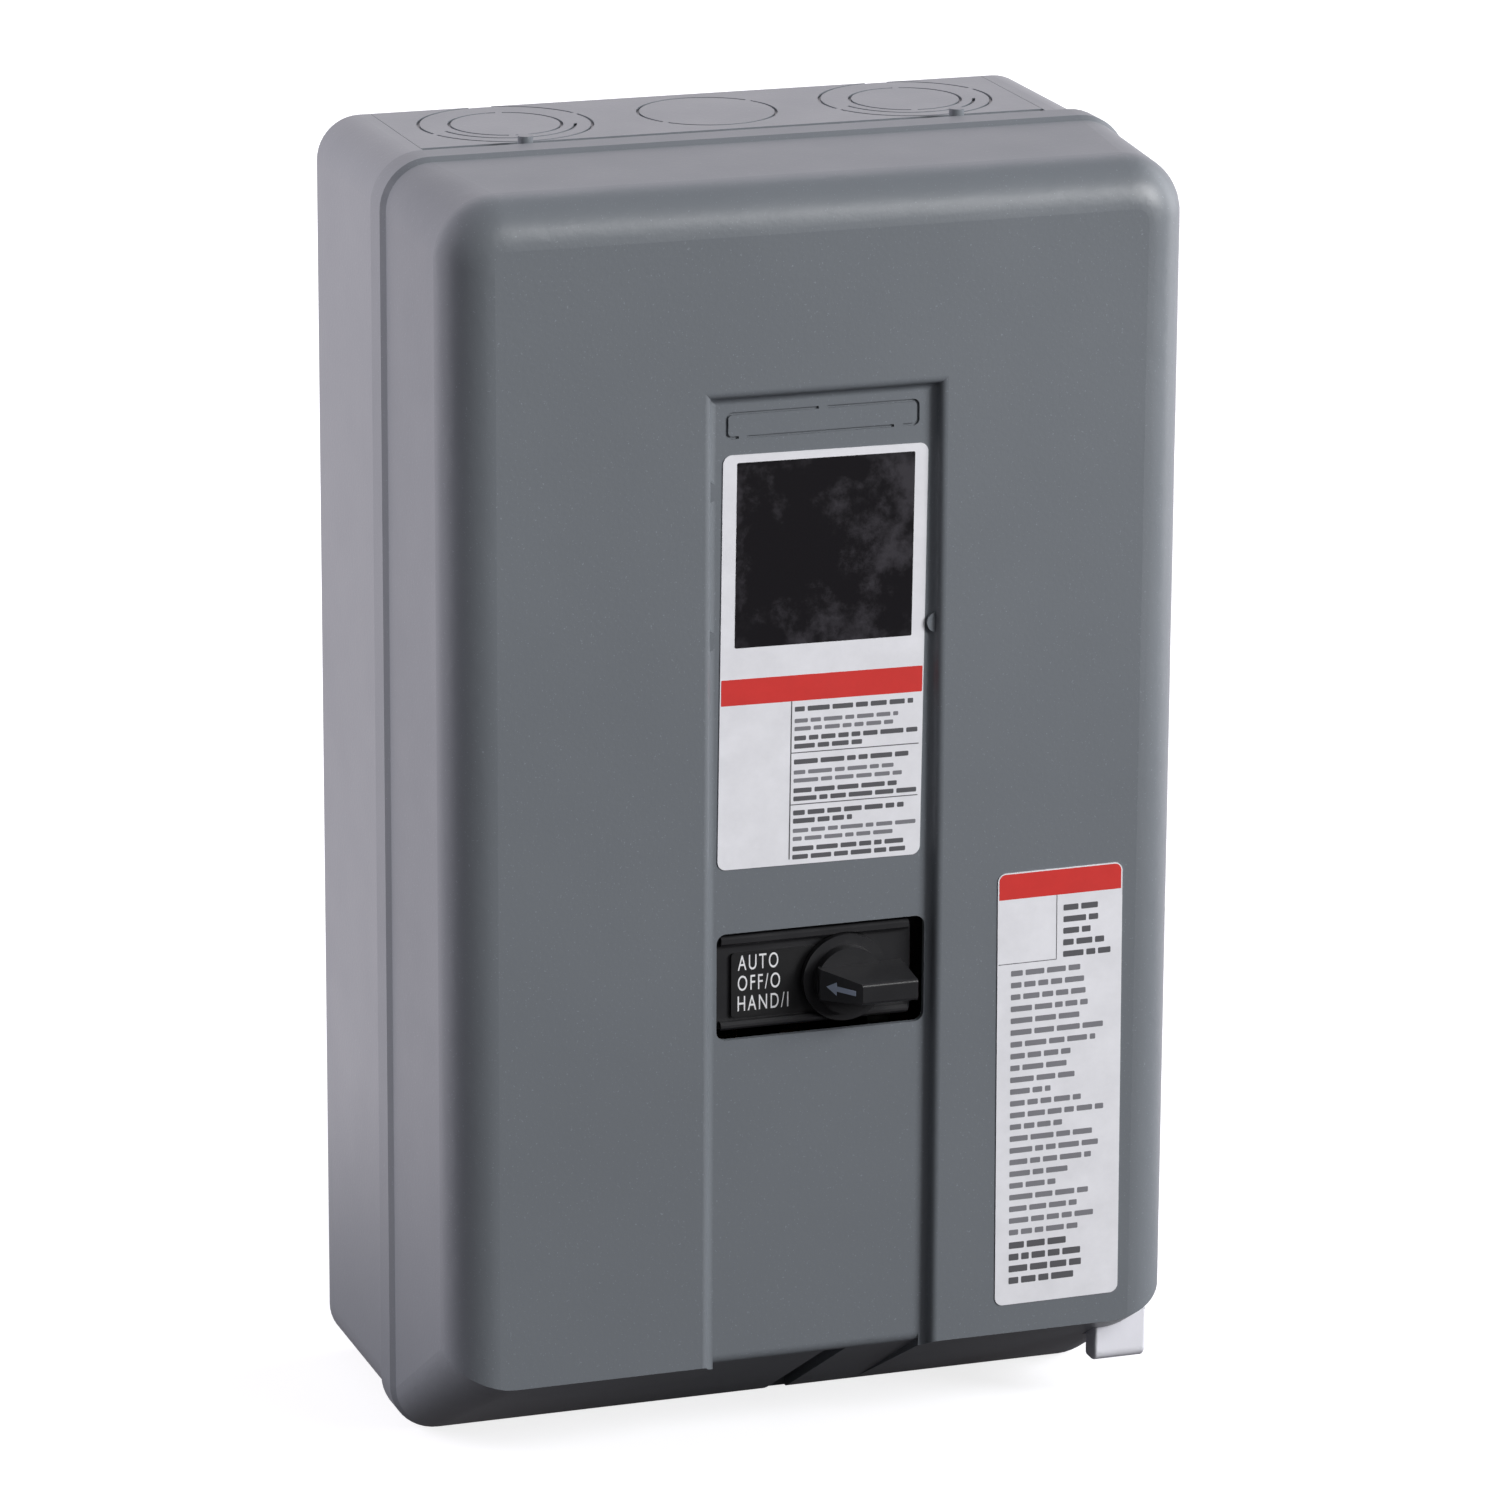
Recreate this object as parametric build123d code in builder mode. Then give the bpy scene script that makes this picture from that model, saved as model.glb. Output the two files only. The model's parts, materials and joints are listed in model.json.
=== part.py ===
"""Enclosed magnetic motor starter: wall box, lift-off drawn cover, contactor, overload relay and selector.

Millimetres. The origin is the centre of the flat back of the box, +Z is up and the front faces -Y.
Depths are measured forward from the wall, so a point at depth d has y = -d.
"""

from build123d import *
from math import acos, sin
import os

os.makedirs("parts", exist_ok=True)

# ---------------------------------------------------------------- driving dimensions
# Box
box_width = 191.5
box_height = 327.0
box_depth = 62.0
sheet = 1.5
corner_r = 11.0
seam_inset = 14.0
seam_gap = 0.15
band_start = 44.5
band_drop = 1.0
end_flange = 14.0

# Cover
cover_gap = 0.2
rim_depth = 54.5
cover_skirt = 8.0
overall_depth = 113.5
cover_joggle = 1.0
joggle_run = 2.0
side_draft = 2.2
top_draft = 1.5
bottom_rise = 27.9
front_corner_r = 16.0
edge_r = 12.0
panel_bend_r = 3.0

# Recessed panel of the cover
panel_x = 0.5
panel_width = 58.8
panel_depth = 3.2
panel_top_drop = 52.0
panel_roll = 2.0
panel_rise = 1.9

# Knockouts in the two end plates
knockout_small_r = 14.1
knockout_middle_r = 17.45
knockout_large_r = 21.8
knockout_depth_centre = 22.0
knockout_spacing = 53.0
groove_width = 0.8
groove_depth = 0.6
knockout_tie = 1.6

# Wall mounting holes
mount_hole_r = 3.5
mount_hole_spacing = 150.0
mount_hole_rise = 28.5
keyhole_drop = 31.5

# Mounting plate and common clearances
pad_height = 4.5
plate_thickness = 2.0
plate_width = 144.0
plate_low = -128.0
plate_high = 118.0
play = 0.05
slip = 0.3

# Contactor
pole_pitch = 20.0
contactor_half_w = 36.0
contactor_low = 6.0
contactor_high = 98.0
base_height = 36.0
block_height = 22.0
arc_cover_height = 14.0
magnet_gap = 4.0

# Overload relay
relay_half_w = 40.0
relay_low = -92.0
relay_height = 28.0
relay_bay_height = 10.0

# Selector
opening_x = 1.0
opening_z = -38.65
opening_width = 54.6
opening_height = 27.7
knob_x = 7.8
knob_z = -39.2
hub_r = 5.0
shaft_r = 3.0
crank_r = 5.0
crank_pin_r = 1.5
bracket_front = 88.0

# Reset lever
lever_inset = 9.25
lever_depth = 98.0
lever_travel = 5.0
tab_width = 14.0
tab_reach = 11.5

# ---------------------------------------------------------------- derived sizes
half_w = box_width / 2
half_h = box_height / 2
seam_x = half_w - seam_inset
rim_half_w = half_w + cover_gap + sheet
rim_half_h = half_h + cover_gap + sheet
front_half_w = rim_half_w - side_draft
front_top = rim_half_h - top_draft
front_bottom = bottom_rise - rim_half_h
body_depth = rim_depth + cover_skirt + joggle_run
body_low = cover_joggle - rim_half_h
bottom_slope = (front_bottom - body_low) / (overall_depth - body_depth)
panel_top = front_top - panel_top_drop
panel_floor = overall_depth - panel_depth
plate_back = sheet + pad_height
plate_front = plate_back + plate_thickness
poles = (-pole_pitch, 0.0, pole_pitch)
base_front = plate_front + base_height
block_front = base_front + block_height
arc_front = block_front + arc_cover_height
contactor_z = (contactor_low + contactor_high) / 2
relay_front = plate_front + relay_height
relay_bay_front = relay_front + relay_bay_height
lever_x = front_half_w - lever_inset


# Screw heads: radius and height, in mm
plate_head_r, plate_head = 4.4, 2.8
device_head_r, device_head = 3.6, 2.4
coil_head_r, coil_head = 2.9, 2.2
small_head_r, small_head = 3.0, 2.0

# Gaps around the sliding pieces and the walls of the plates that guide them
side_gap = 0.2
guide_wall = 1.6
guide_reach = 20.0

# ---------------------------------------------------------------- drawing helpers
def slab(x0, x1, z0, z1, d0, d1, radius=0.0, mode=Mode.ADD):
    """Block from x0 to x1 and z0 to z1, carried forward from depth d0 to depth d1."""
    with BuildSketch(Plane.XZ.offset(d0)) as outline:
        with Locations(((x0 + x1) / 2, (z0 + z1) / 2)):
            if radius:
                RectangleRounded(abs(x1 - x0), abs(z1 - z0), radius)
            else:
                Rectangle(abs(x1 - x0), abs(z1 - z0))
    extrude(outline.sketch, amount=d1 - d0, mode=mode)


def peg(x, z, radius, d0, d1, mode=Mode.ADD):
    """Round peg about a front-to-back axis, from depth d0 to depth d1."""
    with BuildSketch(Plane.XZ.offset(d0)) as outline:
        with Locations((x, z)):
            Circle(radius)
    extrude(outline.sketch, amount=d1 - d0, mode=mode)


def hole(x, z, radius, d0, d1):
    """Round hole about a front-to-back axis, from depth d0 to depth d1."""
    peg(x, z, radius, d0, d1, mode=Mode.SUBTRACT)


def pocket(x0, x1, z0, z1, d0, d1, radius=0.0):
    """Block-shaped hollow, given like a slab."""
    slab(x0, x1, z0, z1, d0, d1, radius, mode=Mode.SUBTRACT)


def screw(x, z, head_r, head_height, shank_r, tip, seat):
    """Slotted screw facing forward: shank from depth tip to depth seat, head in front of the seat."""
    slot_half = head_r * 0.14
    peg(x, z, shank_r, tip, seat)
    peg(x, z, head_r, seat, seat + head_height)
    pocket(x - head_r, x + head_r, z - slot_half, z + slot_half, seat + head_height * 0.5, seat + head_height)


def spring(start, direction, length, radius, wire, turns):
    """Compression spring from start along direction, its end turns touching both seats."""
    axis = Vector(*direction)
    first = Vector(*start) + axis * wire
    with BuildLine() as coil:
        Helix((length - 2 * wire) / turns, length - 2 * wire, radius, center=first, direction=axis)
    with BuildSketch(Plane(origin=coil.line @ 0, z_dir=coil.line % 0)) as section:
        Circle(wire)
    sweep(section.sketch, path=coil.line, is_frenet=True)


# ---------------------------------------------------------------- box
pad_x = plate_width / 2 - 10.0
pad_r = 7.0
pad_zs = (plate_low + 10.0, plate_high - 10.0)
plate_screw_r = 2.4
pads = [(x, z) for x in (-pad_x, pad_x) for z in pad_zs]

keyhole_z = half_h - keyhole_drop
keyhole_r = 5.5
keyhole_slot_r = 2.8
keyhole_lift = 7.0

with BuildPart() as housing:
    with BuildSketch(Plane.XZ):
        RectangleRounded(box_width, box_height, corner_r)
    extrude(amount=box_depth)
    with BuildSketch(Plane.XZ.offset(sheet)):
        RectangleRounded(box_width - 2 * sheet, box_height - 2 * sheet, corner_r - sheet)
    extrude(amount=box_depth - sheet, mode=Mode.SUBTRACT)
    for side in (1, -1):
        pocket(-seam_x, seam_x, side * (half_h - sheet), side * (half_h + sheet), 0, box_depth)
    for x, z in pads:
        peg(x, z, pad_r, sheet, plate_back)
        hole(x, z, plate_screw_r + play, 0, plate_back)
    for x in (-mount_hole_spacing / 2, mount_hole_spacing / 2):
        hole(x, mount_hole_rise - half_h, mount_hole_r, 0, sheet)
    hole(0, keyhole_z, keyhole_r, 0, sheet)
    hole(0, keyhole_z + keyhole_lift, keyhole_slot_r, 0, sheet)
    pocket(-keyhole_slot_r, keyhole_slot_r, keyhole_z, keyhole_z + keyhole_lift, 0, sheet)
housing.part.label = "housing"
export_step(housing.part, "parts/housing.step")

# Cover screw, the driver channel in the underside of the cover and the bracket on the bottom end plate
cover_screw_x = 6.2
cover_screw_z = 7.8 - rim_half_h
cover_screw_r = 1.5
cover_screw_head_r = 2.5
screw_pocket_half_w = 2.9
screw_pocket_floor = 61.5
screw_pocket_roof = cover_screw_z + screw_pocket_half_w
channel_depth = 4.0
channel_front = overall_depth - 5.0
blank_stretch = 60.0
bracket_half_w = 9.0
bracket_face = screw_pocket_floor - sheet - 1.5
notch_half_w = 7.0


def ring_groove(x, side, radius, gap_angles=(), arc=None):
    """Groove round a knockout in an end plate, cut by ties at gap_angles or limited to an arc."""
    face = Plane(origin=(x, -knockout_depth_centre, side * half_h), x_dir=(1, 0, 0), z_dir=(0, 0, side))
    with BuildSketch(face) as rings:
        Circle(radius + groove_width / 2)
        Circle(radius - groove_width / 2, mode=Mode.SUBTRACT)
        for angle in gap_angles:
            with PolarLocations(radius, 1, start_angle=angle):
                Rectangle(3 * groove_width, knockout_tie, mode=Mode.SUBTRACT)
        if arc:
            with Locations((0, arc * radius)):
                Rectangle(4 * radius, 2 * radius, mode=Mode.SUBTRACT)
    extrude(rings.sketch, amount=-groove_depth, mode=Mode.SUBTRACT)


def end_plate(side):
    """Flat end of the box with its knockouts, stepped front band and inner flange; side 1 is the top."""
    reach = seam_x - seam_gap
    outer = side * half_h
    inner = side * (half_h - sheet)
    band_outer = side * (half_h - band_drop)
    band_inner = side * (half_h - band_drop - sheet)
    with BuildPart() as plate:
        slab(-reach, reach, inner, outer, 0, band_start)
        slab(-reach, reach, band_inner, band_outer, band_start - sheet, box_depth)
        slab(4 - reach, reach - 4, side * (half_h - sheet - end_flange), inner, sheet, 2 * sheet)
        for x in (-knockout_spacing, knockout_spacing):
            ring_groove(x, side, knockout_small_r, gap_angles=(80, 260))
            ring_groove(x, side, knockout_middle_r, arc=side * 0.75)
            ring_groove(x, side, knockout_large_r, gap_angles=(20, 200))
        ring_groove(0, side, knockout_middle_r, gap_angles=(35, 215))
        if side < 0:
            pocket(
                cover_screw_x - notch_half_w,
                cover_screw_x + notch_half_w,
                band_inner + 1,
                band_outer - 1,
                bracket_face + 1,
                box_depth,
            )
    return plate


top_end_plate = end_plate(1)
top_end_plate.part.label = "top_end_plate"
export_step(top_end_plate.part, "parts/top_end_plate.step")

bottom_end_plate = end_plate(-1)
bottom_end_plate.part.label = "bottom_end_plate"
export_step(bottom_end_plate.part, "parts/bottom_end_plate.step")

stud_x = 56.5
stud_depth = 50.2
stud_r = 1.9
stud_base_r = 2.7
stud_base_height = 0.8
stud_height = 3.8

with BuildPart() as cover_studs:
    for x in (-stud_x, stud_x):
        for radius, height in ((stud_base_r, stud_base_height), (stud_r, stud_height)):
            with BuildSketch(Plane.XY.offset(half_h - band_drop)):
                with Locations((x, -stud_depth)):
                    Circle(radius)
            extrude(amount=height)
cover_studs.part.label = "cover_studs"
export_step(cover_studs.part, "parts/cover_studs.step")

band_floor = band_drop + sheet - half_h

with BuildPart() as cover_screw_bracket:
    bracket_low_x = cover_screw_x - bracket_half_w
    bracket_high_x = cover_screw_x + bracket_half_w
    slab(bracket_low_x, bracket_high_x, band_floor, band_floor + sheet, band_start, bracket_face)
    slab(bracket_low_x, bracket_high_x, band_floor, band_floor + 12, bracket_face - sheet, bracket_face)
    hole(cover_screw_x, cover_screw_z, cover_screw_r + play, bracket_face - sheet, bracket_face)
cover_screw_bracket.part.label = "cover_screw_bracket"
export_step(cover_screw_bracket.part, "parts/cover_screw_bracket.step")


# ---------------------------------------------------------------- cover
def panel_cut(inset):
    """Space in front of the recessed panel: rolled edges at the sides and top, open over the bottom edge."""
    front = overall_depth - inset
    floor = front - panel_depth
    middle = front - panel_depth / 2
    run = panel_roll * sin(acos(1 - panel_depth / (2 * panel_roll)))
    half = panel_width / 2 + inset
    skirt_z = body_low + inset
    slope = (front_bottom + inset - skirt_z) / (front - body_depth)
    corner_z = skirt_z + slope * (floor - body_depth) + panel_rise
    top = panel_top + inset
    beyond = 5.0
    with BuildPart() as upright:
        with BuildSketch(Plane.XY.offset(skirt_z - 2 * beyond)):
            with BuildLine():
                for s in (1, -1):
                    lip = panel_x + s * (half + run)
                    bend = panel_x + s * half
                    foot = panel_x + s * (half - run)
                    TangentArc((lip, -front), (bend, -middle), tangent=(-s, 0))
                    TangentArc((foot, -floor), (bend, -middle), tangent=(s, 0))
                    Line((foot, -floor), (foot, -rim_depth))
                    Line((lip, -front), (lip, -front - beyond))
                Line((panel_x - half + run, -rim_depth), (panel_x + half - run, -rim_depth))
                Line((panel_x - half - run, -front - beyond), (panel_x + half + run, -front - beyond))
            make_face()
        extrude(amount=2 * box_height)
    with BuildPart() as across:
        with BuildSketch(Plane.YZ.offset(panel_x - half - beyond)):
            with BuildLine():
                TangentArc((-front, top + run), (-middle, top), tangent=(0, -1))
                TangentArc((-floor, top - run), (-middle, top), tangent=(0, 1))
                FilletPolyline(
                    (-floor, top - run),
                    (-floor, corner_z),
                    (-body_depth, skirt_z),
                    radius=panel_bend_r - inset,
                )
                Polyline(
                    (-body_depth, skirt_z),
                    (-body_depth, skirt_z - beyond),
                    (-front - beyond, skirt_z - beyond),
                    (-front - beyond, top + run),
                    (-front, top + run),
                )
            make_face()
        extrude(amount=2 * (half + beyond))
    with BuildPart() as cut:
        add(upright.part)
        add(across.part, mode=Mode.INTERSECT)
    return cut.part


def driver_channel(inset):
    """Channel in the sloping underside, through which a driver reaches the cover screw."""
    back = screw_pocket_floor - inset
    roof = screw_pocket_roof + inset
    bend = body_depth + (roof - body_low - channel_depth - inset) / bottom_slope
    front = channel_front + inset
    end = body_low + bottom_slope * (channel_front - body_depth) + channel_depth + inset
    low = -rim_half_h - sheet
    with BuildPart() as channel:
        with BuildSketch(Plane.YZ.offset(cover_screw_x - screw_pocket_half_w - inset)):
            with BuildLine():
                Polyline((-back, low), (-back, roof), (-bend, roof), (-front, end), (-front, low), close=True)
            make_face()
        extrude(amount=2 * (screw_pocket_half_w + inset))
    return channel.part


def cover_blank(inset, stretch):
    """Cover with square front edges, moved inward all round by inset and lengthened downward by stretch."""
    rim_size = (2 * (rim_half_w - inset), 2 * (rim_half_h - inset) + stretch)
    rim_r = corner_r + cover_gap + sheet - inset
    body_size = (rim_size[0] - 2 * cover_joggle, rim_size[1] - 2 * cover_joggle)
    front_size = (2 * (front_half_w - inset), front_top - front_bottom - 2 * inset + stretch)
    front_z = (front_top + front_bottom - stretch) / 2
    with BuildPart() as blank:
        with BuildSketch(Plane.XZ.offset(rim_depth)):
            with Locations((0, -stretch / 2)):
                RectangleRounded(*rim_size, rim_r)
        extrude(amount=cover_skirt)
        with BuildSketch(Plane.XZ.offset(rim_depth + cover_skirt)):
            with Locations((0, -stretch / 2)):
                RectangleRounded(*rim_size, rim_r)
        with BuildSketch(Plane.XZ.offset(body_depth)):
            with Locations((0, -stretch / 2)):
                RectangleRounded(*body_size, rim_r - cover_joggle)
        loft()
        with BuildSketch(Plane.XZ.offset(body_depth)):
            with Locations((0, -stretch / 2)):
                RectangleRounded(*body_size, rim_r - cover_joggle)
        with BuildSketch(Plane.XZ.offset(overall_depth - inset)):
            with Locations((0, front_z)):
                RectangleRounded(*front_size, front_corner_r - inset)
        loft()
    return blank


def cover_form(inset):
    """Drawn shape of the cover: front edges rolled at the sides and top, and crisp along the bottom."""
    with BuildPart() as rolled:
        add(cover_blank(inset, blank_stretch).part)
        fillet(rolled.faces().sort_by(Axis.Y)[0].edges(), edge_r - inset)
    with BuildPart() as form:
        add(cover_blank(inset, 0.0).part)
        add(rolled.part, mode=Mode.INTERSECT)
        add(panel_cut(inset), mode=Mode.SUBTRACT)
        add(driver_channel(inset), mode=Mode.SUBTRACT)
    return form.part


lever_half_depth = 2.0
tab_back = lever_depth - lever_half_depth
tab_front = tab_back + 7.0
tab_slot_gap = 0.7
opening_r = 2.5
opening_left = opening_x - opening_width / 2
opening_right = opening_x + opening_width / 2
opening_low = opening_z - opening_height / 2
opening_high = opening_z + opening_height / 2
frame_knockout_half_w = 25.0
frame_knockout_top = panel_top - 4.0
frame_knockout_height = 6.7
frame_groove = 0.7
dimple_r = 2.6
dimple_drops = (23.3, 60.7)
rim_notch_x = 4.8
rim_notch_half_w = 1.3
rim_notch_length = 3.0

with BuildPart() as cover:
    add(cover_form(0))
    add(cover_form(sheet), mode=Mode.SUBTRACT)
    # Operator opening in the recessed panel
    pocket(
        opening_left,
        opening_right,
        opening_low,
        opening_high,
        panel_floor - 3 * sheet,
        overall_depth,
        opening_r,
    )
    # Slot for the reset tab through the sloping bottom
    pocket(
        lever_x - tab_width / 2 - tab_slot_gap,
        lever_x + tab_width / 2 + tab_slot_gap,
        front_bottom - 30,
        front_bottom + 6,
        tab_back - tab_slot_gap,
        tab_front + tab_slot_gap,
    )
    # Outline of an unused opening at the head of the panel
    with BuildSketch(Plane.XZ.offset(panel_floor)):
        with Locations((panel_x, frame_knockout_top - frame_knockout_height / 2)):
            RectangleRounded(2 * frame_knockout_half_w, frame_knockout_height, 1.6)
            RectangleRounded(
                2 * (frame_knockout_half_w - frame_groove),
                frame_knockout_height - 2 * frame_groove,
                0.9,
                mode=Mode.SUBTRACT,
            )
        for x, z in ((0, 0), (-20.5, -frame_knockout_height), (19.5, -frame_knockout_height)):
            with Locations((panel_x + x, frame_knockout_top + z)):
                Rectangle(2.2, 2.2, mode=Mode.SUBTRACT)
    extrude(amount=-groove_depth, mode=Mode.SUBTRACT)
    # Small pressed dimples beside the panel edges
    for side, drop in ((-1, dimple_drops[0]), (-1, dimple_drops[1]), (1, dimple_drops[1])):
        peg(
            panel_x + side * (panel_width / 2 + 0.4),
            panel_top - drop,
            dimple_r,
            panel_floor - 1,
            panel_floor + 1.2,
        )
    # Cover screw hole, and the small notch in the rim beside it
    hole(
        cover_screw_x,
        cover_screw_z,
        cover_screw_r + 4 * play,
        screw_pocket_floor - sheet,
        screw_pocket_floor,
    )
    pocket(
        rim_notch_x - rim_notch_half_w,
        rim_notch_x + rim_notch_half_w,
        -rim_half_h - 1,
        -rim_half_h + sheet + 0.5,
        rim_depth,
        rim_depth + rim_notch_length,
    )
cover.part.label = "cover"
export_step(cover.part, "parts/cover.step")

with BuildPart() as cover_screw:
    screw(
        cover_screw_x,
        cover_screw_z,
        cover_screw_head_r,
        2.4,
        cover_screw_r,
        bracket_face - 8,
        screw_pocket_floor,
    )
cover_screw.part.label = "cover_screw"
export_step(cover_screw.part, "parts/cover_screw.step")

label_thickness = 0.25
label_corner_r = 2.2
main_label_x = panel_x + 0.3
main_label_top = panel_top - 14.9
main_label_width = 53.0
main_label_gap = 16.4
main_label_height = main_label_top - opening_high - main_label_gap
main_label_tilt = -0.6
side_label_inset = 15.05
side_label_rise = 7.8
side_label_size = (33.3, 114.6)
side_label_tilt = 0.4


def sticker(x, z, size, tilt, depth):
    """Thin adhesive label centred at x, z on a face at this depth."""
    with BuildPart() as label:
        with BuildSketch(Plane.XZ.offset(depth)):
            with Locations(Location((x, z), tilt)):
                RectangleRounded(size[0], size[1], label_corner_r)
        extrude(amount=label_thickness)
    return label


main_label = sticker(
    main_label_x,
    main_label_top - main_label_height / 2,
    (main_label_width, main_label_height),
    main_label_tilt,
    panel_floor,
)
main_label.part.label = "main_label"
export_step(main_label.part, "parts/main_label.step")

side_label = sticker(
    front_half_w - side_label_inset - side_label_size[0] / 2,
    front_bottom + side_label_rise + side_label_size[1] / 2,
    side_label_size,
    side_label_tilt,
    overall_depth,
)
side_label.part.label = "side_label"
export_step(side_label.part, "parts/side_label.step")

# ---------------------------------------------------------------- mounting plate
contactor_screws_at = [(x, z) for x in (-31.0, 31.0) for z in (contactor_low + 7, contactor_high - 7)]
relay_screws_at = [(x, z) for x in (-33.0, 33.0) for z in (relay_low + 10, -8.0)]
foot_screw_z = -38.5
foot_screw_xs = (-51.5, 65.0)
device_screw_r = 2.0

with BuildPart() as mounting_plate:
    slab(-plate_width / 2, plate_width / 2, plate_low, plate_high, plate_back, plate_front, radius=4.0)
    for x, z in pads:
        hole(x, z, plate_screw_r + play, plate_back, plate_front)
    for x, z in contactor_screws_at + relay_screws_at + [(x, foot_screw_z) for x in foot_screw_xs]:
        hole(x, z, device_screw_r + play, plate_back, plate_front)
mounting_plate.part.label = "mounting_plate"
export_step(mounting_plate.part, "parts/mounting_plate.step")

with BuildPart() as plate_screws:
    for x, z in pads:
        screw(x, z, plate_head_r, plate_head, plate_screw_r, sheet / 2, plate_front)
plate_screws.part.label = "plate_screws"
export_step(plate_screws.part, "parts/plate_screws.step")

# ---------------------------------------------------------------- contactor
core_floor = plate_front + 4.0
core_half_w = 12.0
yoke = 8.0
leg = 14.0
yoke_front = core_floor + yoke
leg_front = yoke_front + leg
armature_back = leg_front + magnet_gap
armature_front = armature_back + 8.0
core_half_h = 24.0
outer_leg = 8.0
centre_leg_half = 7.5
carrier_margin = 4.0
cavity_margin = 3.0
carrier_half_w = pole_pitch + carrier_margin
cavity_half_w = carrier_half_w + cavity_margin
cavity_half_h = 30.0
coil_shelf_front = plate_front + 22.0
coil_screw_x = 40.0
coil_screw_zs = (contactor_z - 6.0, contactor_z + 6.0)
coil_screw_r = 1.6

with BuildPart() as contactor_base:
    slab(
        -contactor_half_w,
        contactor_half_w,
        contactor_low,
        contactor_high,
        plate_front,
        base_front,
        radius=2.0,
    )
    pocket(
        -cavity_half_w,
        cavity_half_w,
        contactor_z - cavity_half_h,
        contactor_z + cavity_half_h,
        core_floor,
        base_front,
    )
    slab(contactor_half_w, 44.0, contactor_z - 12, contactor_z + 12, plate_front, coil_shelf_front)
    for z in coil_screw_zs:
        hole(coil_screw_x, z, coil_screw_r + play, coil_shelf_front - 8, coil_shelf_front)
    for x, z in contactor_screws_at:
        hole(x, z, device_screw_r + play, plate_front, base_front)
contactor_base.part.label = "contactor_base"
export_step(contactor_base.part, "parts/contactor_base.step")

with BuildPart() as magnet_core:
    slab(
        -core_half_w,
        core_half_w,
        contactor_z - core_half_h,
        contactor_z + core_half_h,
        core_floor,
        yoke_front,
    )
    slab(
        -core_half_w,
        core_half_w,
        contactor_z - centre_leg_half,
        contactor_z + centre_leg_half,
        yoke_front,
        leg_front,
    )
    for side in (1, -1):
        outer_end = contactor_z + side * core_half_h
        slab(-core_half_w, core_half_w, outer_end - side * outer_leg, outer_end, yoke_front, leg_front)
magnet_core.part.label = "magnet_core"
export_step(magnet_core.part, "parts/magnet_core.step")

bobbin_back = yoke_front + slip
bobbin_front = leg_front - 1.0
bobbin_flange = 1.5
bobbin_half_w = 22.0
bobbin_half_h = core_half_h - outer_leg - 0.5
window_half_w = core_half_w + slip
window_half_h = centre_leg_half + slip
tube_wall = 1.2

with BuildPart() as coil_bobbin:
    for back in (bobbin_back, bobbin_front - bobbin_flange):
        slab(
            -bobbin_half_w,
            bobbin_half_w,
            contactor_z - bobbin_half_h,
            contactor_z + bobbin_half_h,
            back,
            back + bobbin_flange,
            radius=2.0,
        )
    slab(
        -window_half_w - tube_wall,
        window_half_w + tube_wall,
        contactor_z - window_half_h - tube_wall,
        contactor_z + window_half_h + tube_wall,
        bobbin_back,
        bobbin_front,
    )
    pocket(
        -window_half_w,
        window_half_w,
        contactor_z - window_half_h,
        contactor_z + window_half_h,
        bobbin_back,
        bobbin_front,
    )
coil_bobbin.part.label = "coil_bobbin"
export_step(coil_bobbin.part, "parts/coil_bobbin.step")

with BuildPart() as coil_winding:
    slab(
        1.5 - bobbin_half_w,
        bobbin_half_w - 1.5,
        contactor_z - bobbin_half_h + 1,
        contactor_z + bobbin_half_h - 1,
        bobbin_back + bobbin_flange + play,
        bobbin_front - bobbin_flange - play,
        radius=5.0,
    )
    pocket(
        -window_half_w - tube_wall - play,
        window_half_w + tube_wall + play,
        contactor_z - window_half_h - tube_wall - play,
        contactor_z + window_half_h + tube_wall + play,
        bobbin_back,
        bobbin_front,
    )
coil_winding.part.label = "coil_winding"
export_step(coil_winding.part, "parts/coil_winding.step")

with BuildPart() as coil_terminal_screws:
    for z in coil_screw_zs:
        slab(coil_screw_x - 3.4, coil_screw_x + 3.4, z - 3.6, z + 3.6, coil_shelf_front, coil_shelf_front + 1)
        screw(
            coil_screw_x,
            z,
            coil_head_r,
            coil_head,
            coil_screw_r,
            coil_shelf_front - 7,
            coil_shelf_front + 1,
        )
coil_terminal_screws.part.label = "coil_terminal_screws"
export_step(coil_terminal_screws.part, "parts/coil_terminal_screws.step")

with BuildPart() as armature:
    slab(
        -core_half_w,
        core_half_w,
        contactor_z - core_half_h,
        contactor_z + core_half_h,
        armature_back,
        armature_front,
    )
armature.part.label = "armature"
export_step(armature.part, "parts/armature.step")

# Current path of one pole: a strip on each side and a bridge that closes both at once
strip_back = base_front + 8.0
strip_thickness = 2.0
strip_front = strip_back + strip_thickness
strip_half_w = 4.0
button_reach = 14.0
button_height = 1.0
contact_gap = magnet_gap
bridge_button_back = strip_front + button_height + contact_gap
bridge_back = bridge_button_back + button_height
bridge_thickness = 1.6
bridge_half_w = 3.2
bridge_half_h = 17.5
channel_half_w = strip_half_w + 1.0
throat_half_h = 18.5
strip_inner = 10.5
strip_outer = 42.0
terminal_reach = 34.0
terminal_screw_r = 2.0
arc_screw_x = 31.5
arc_screw_r = 1.6

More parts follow.
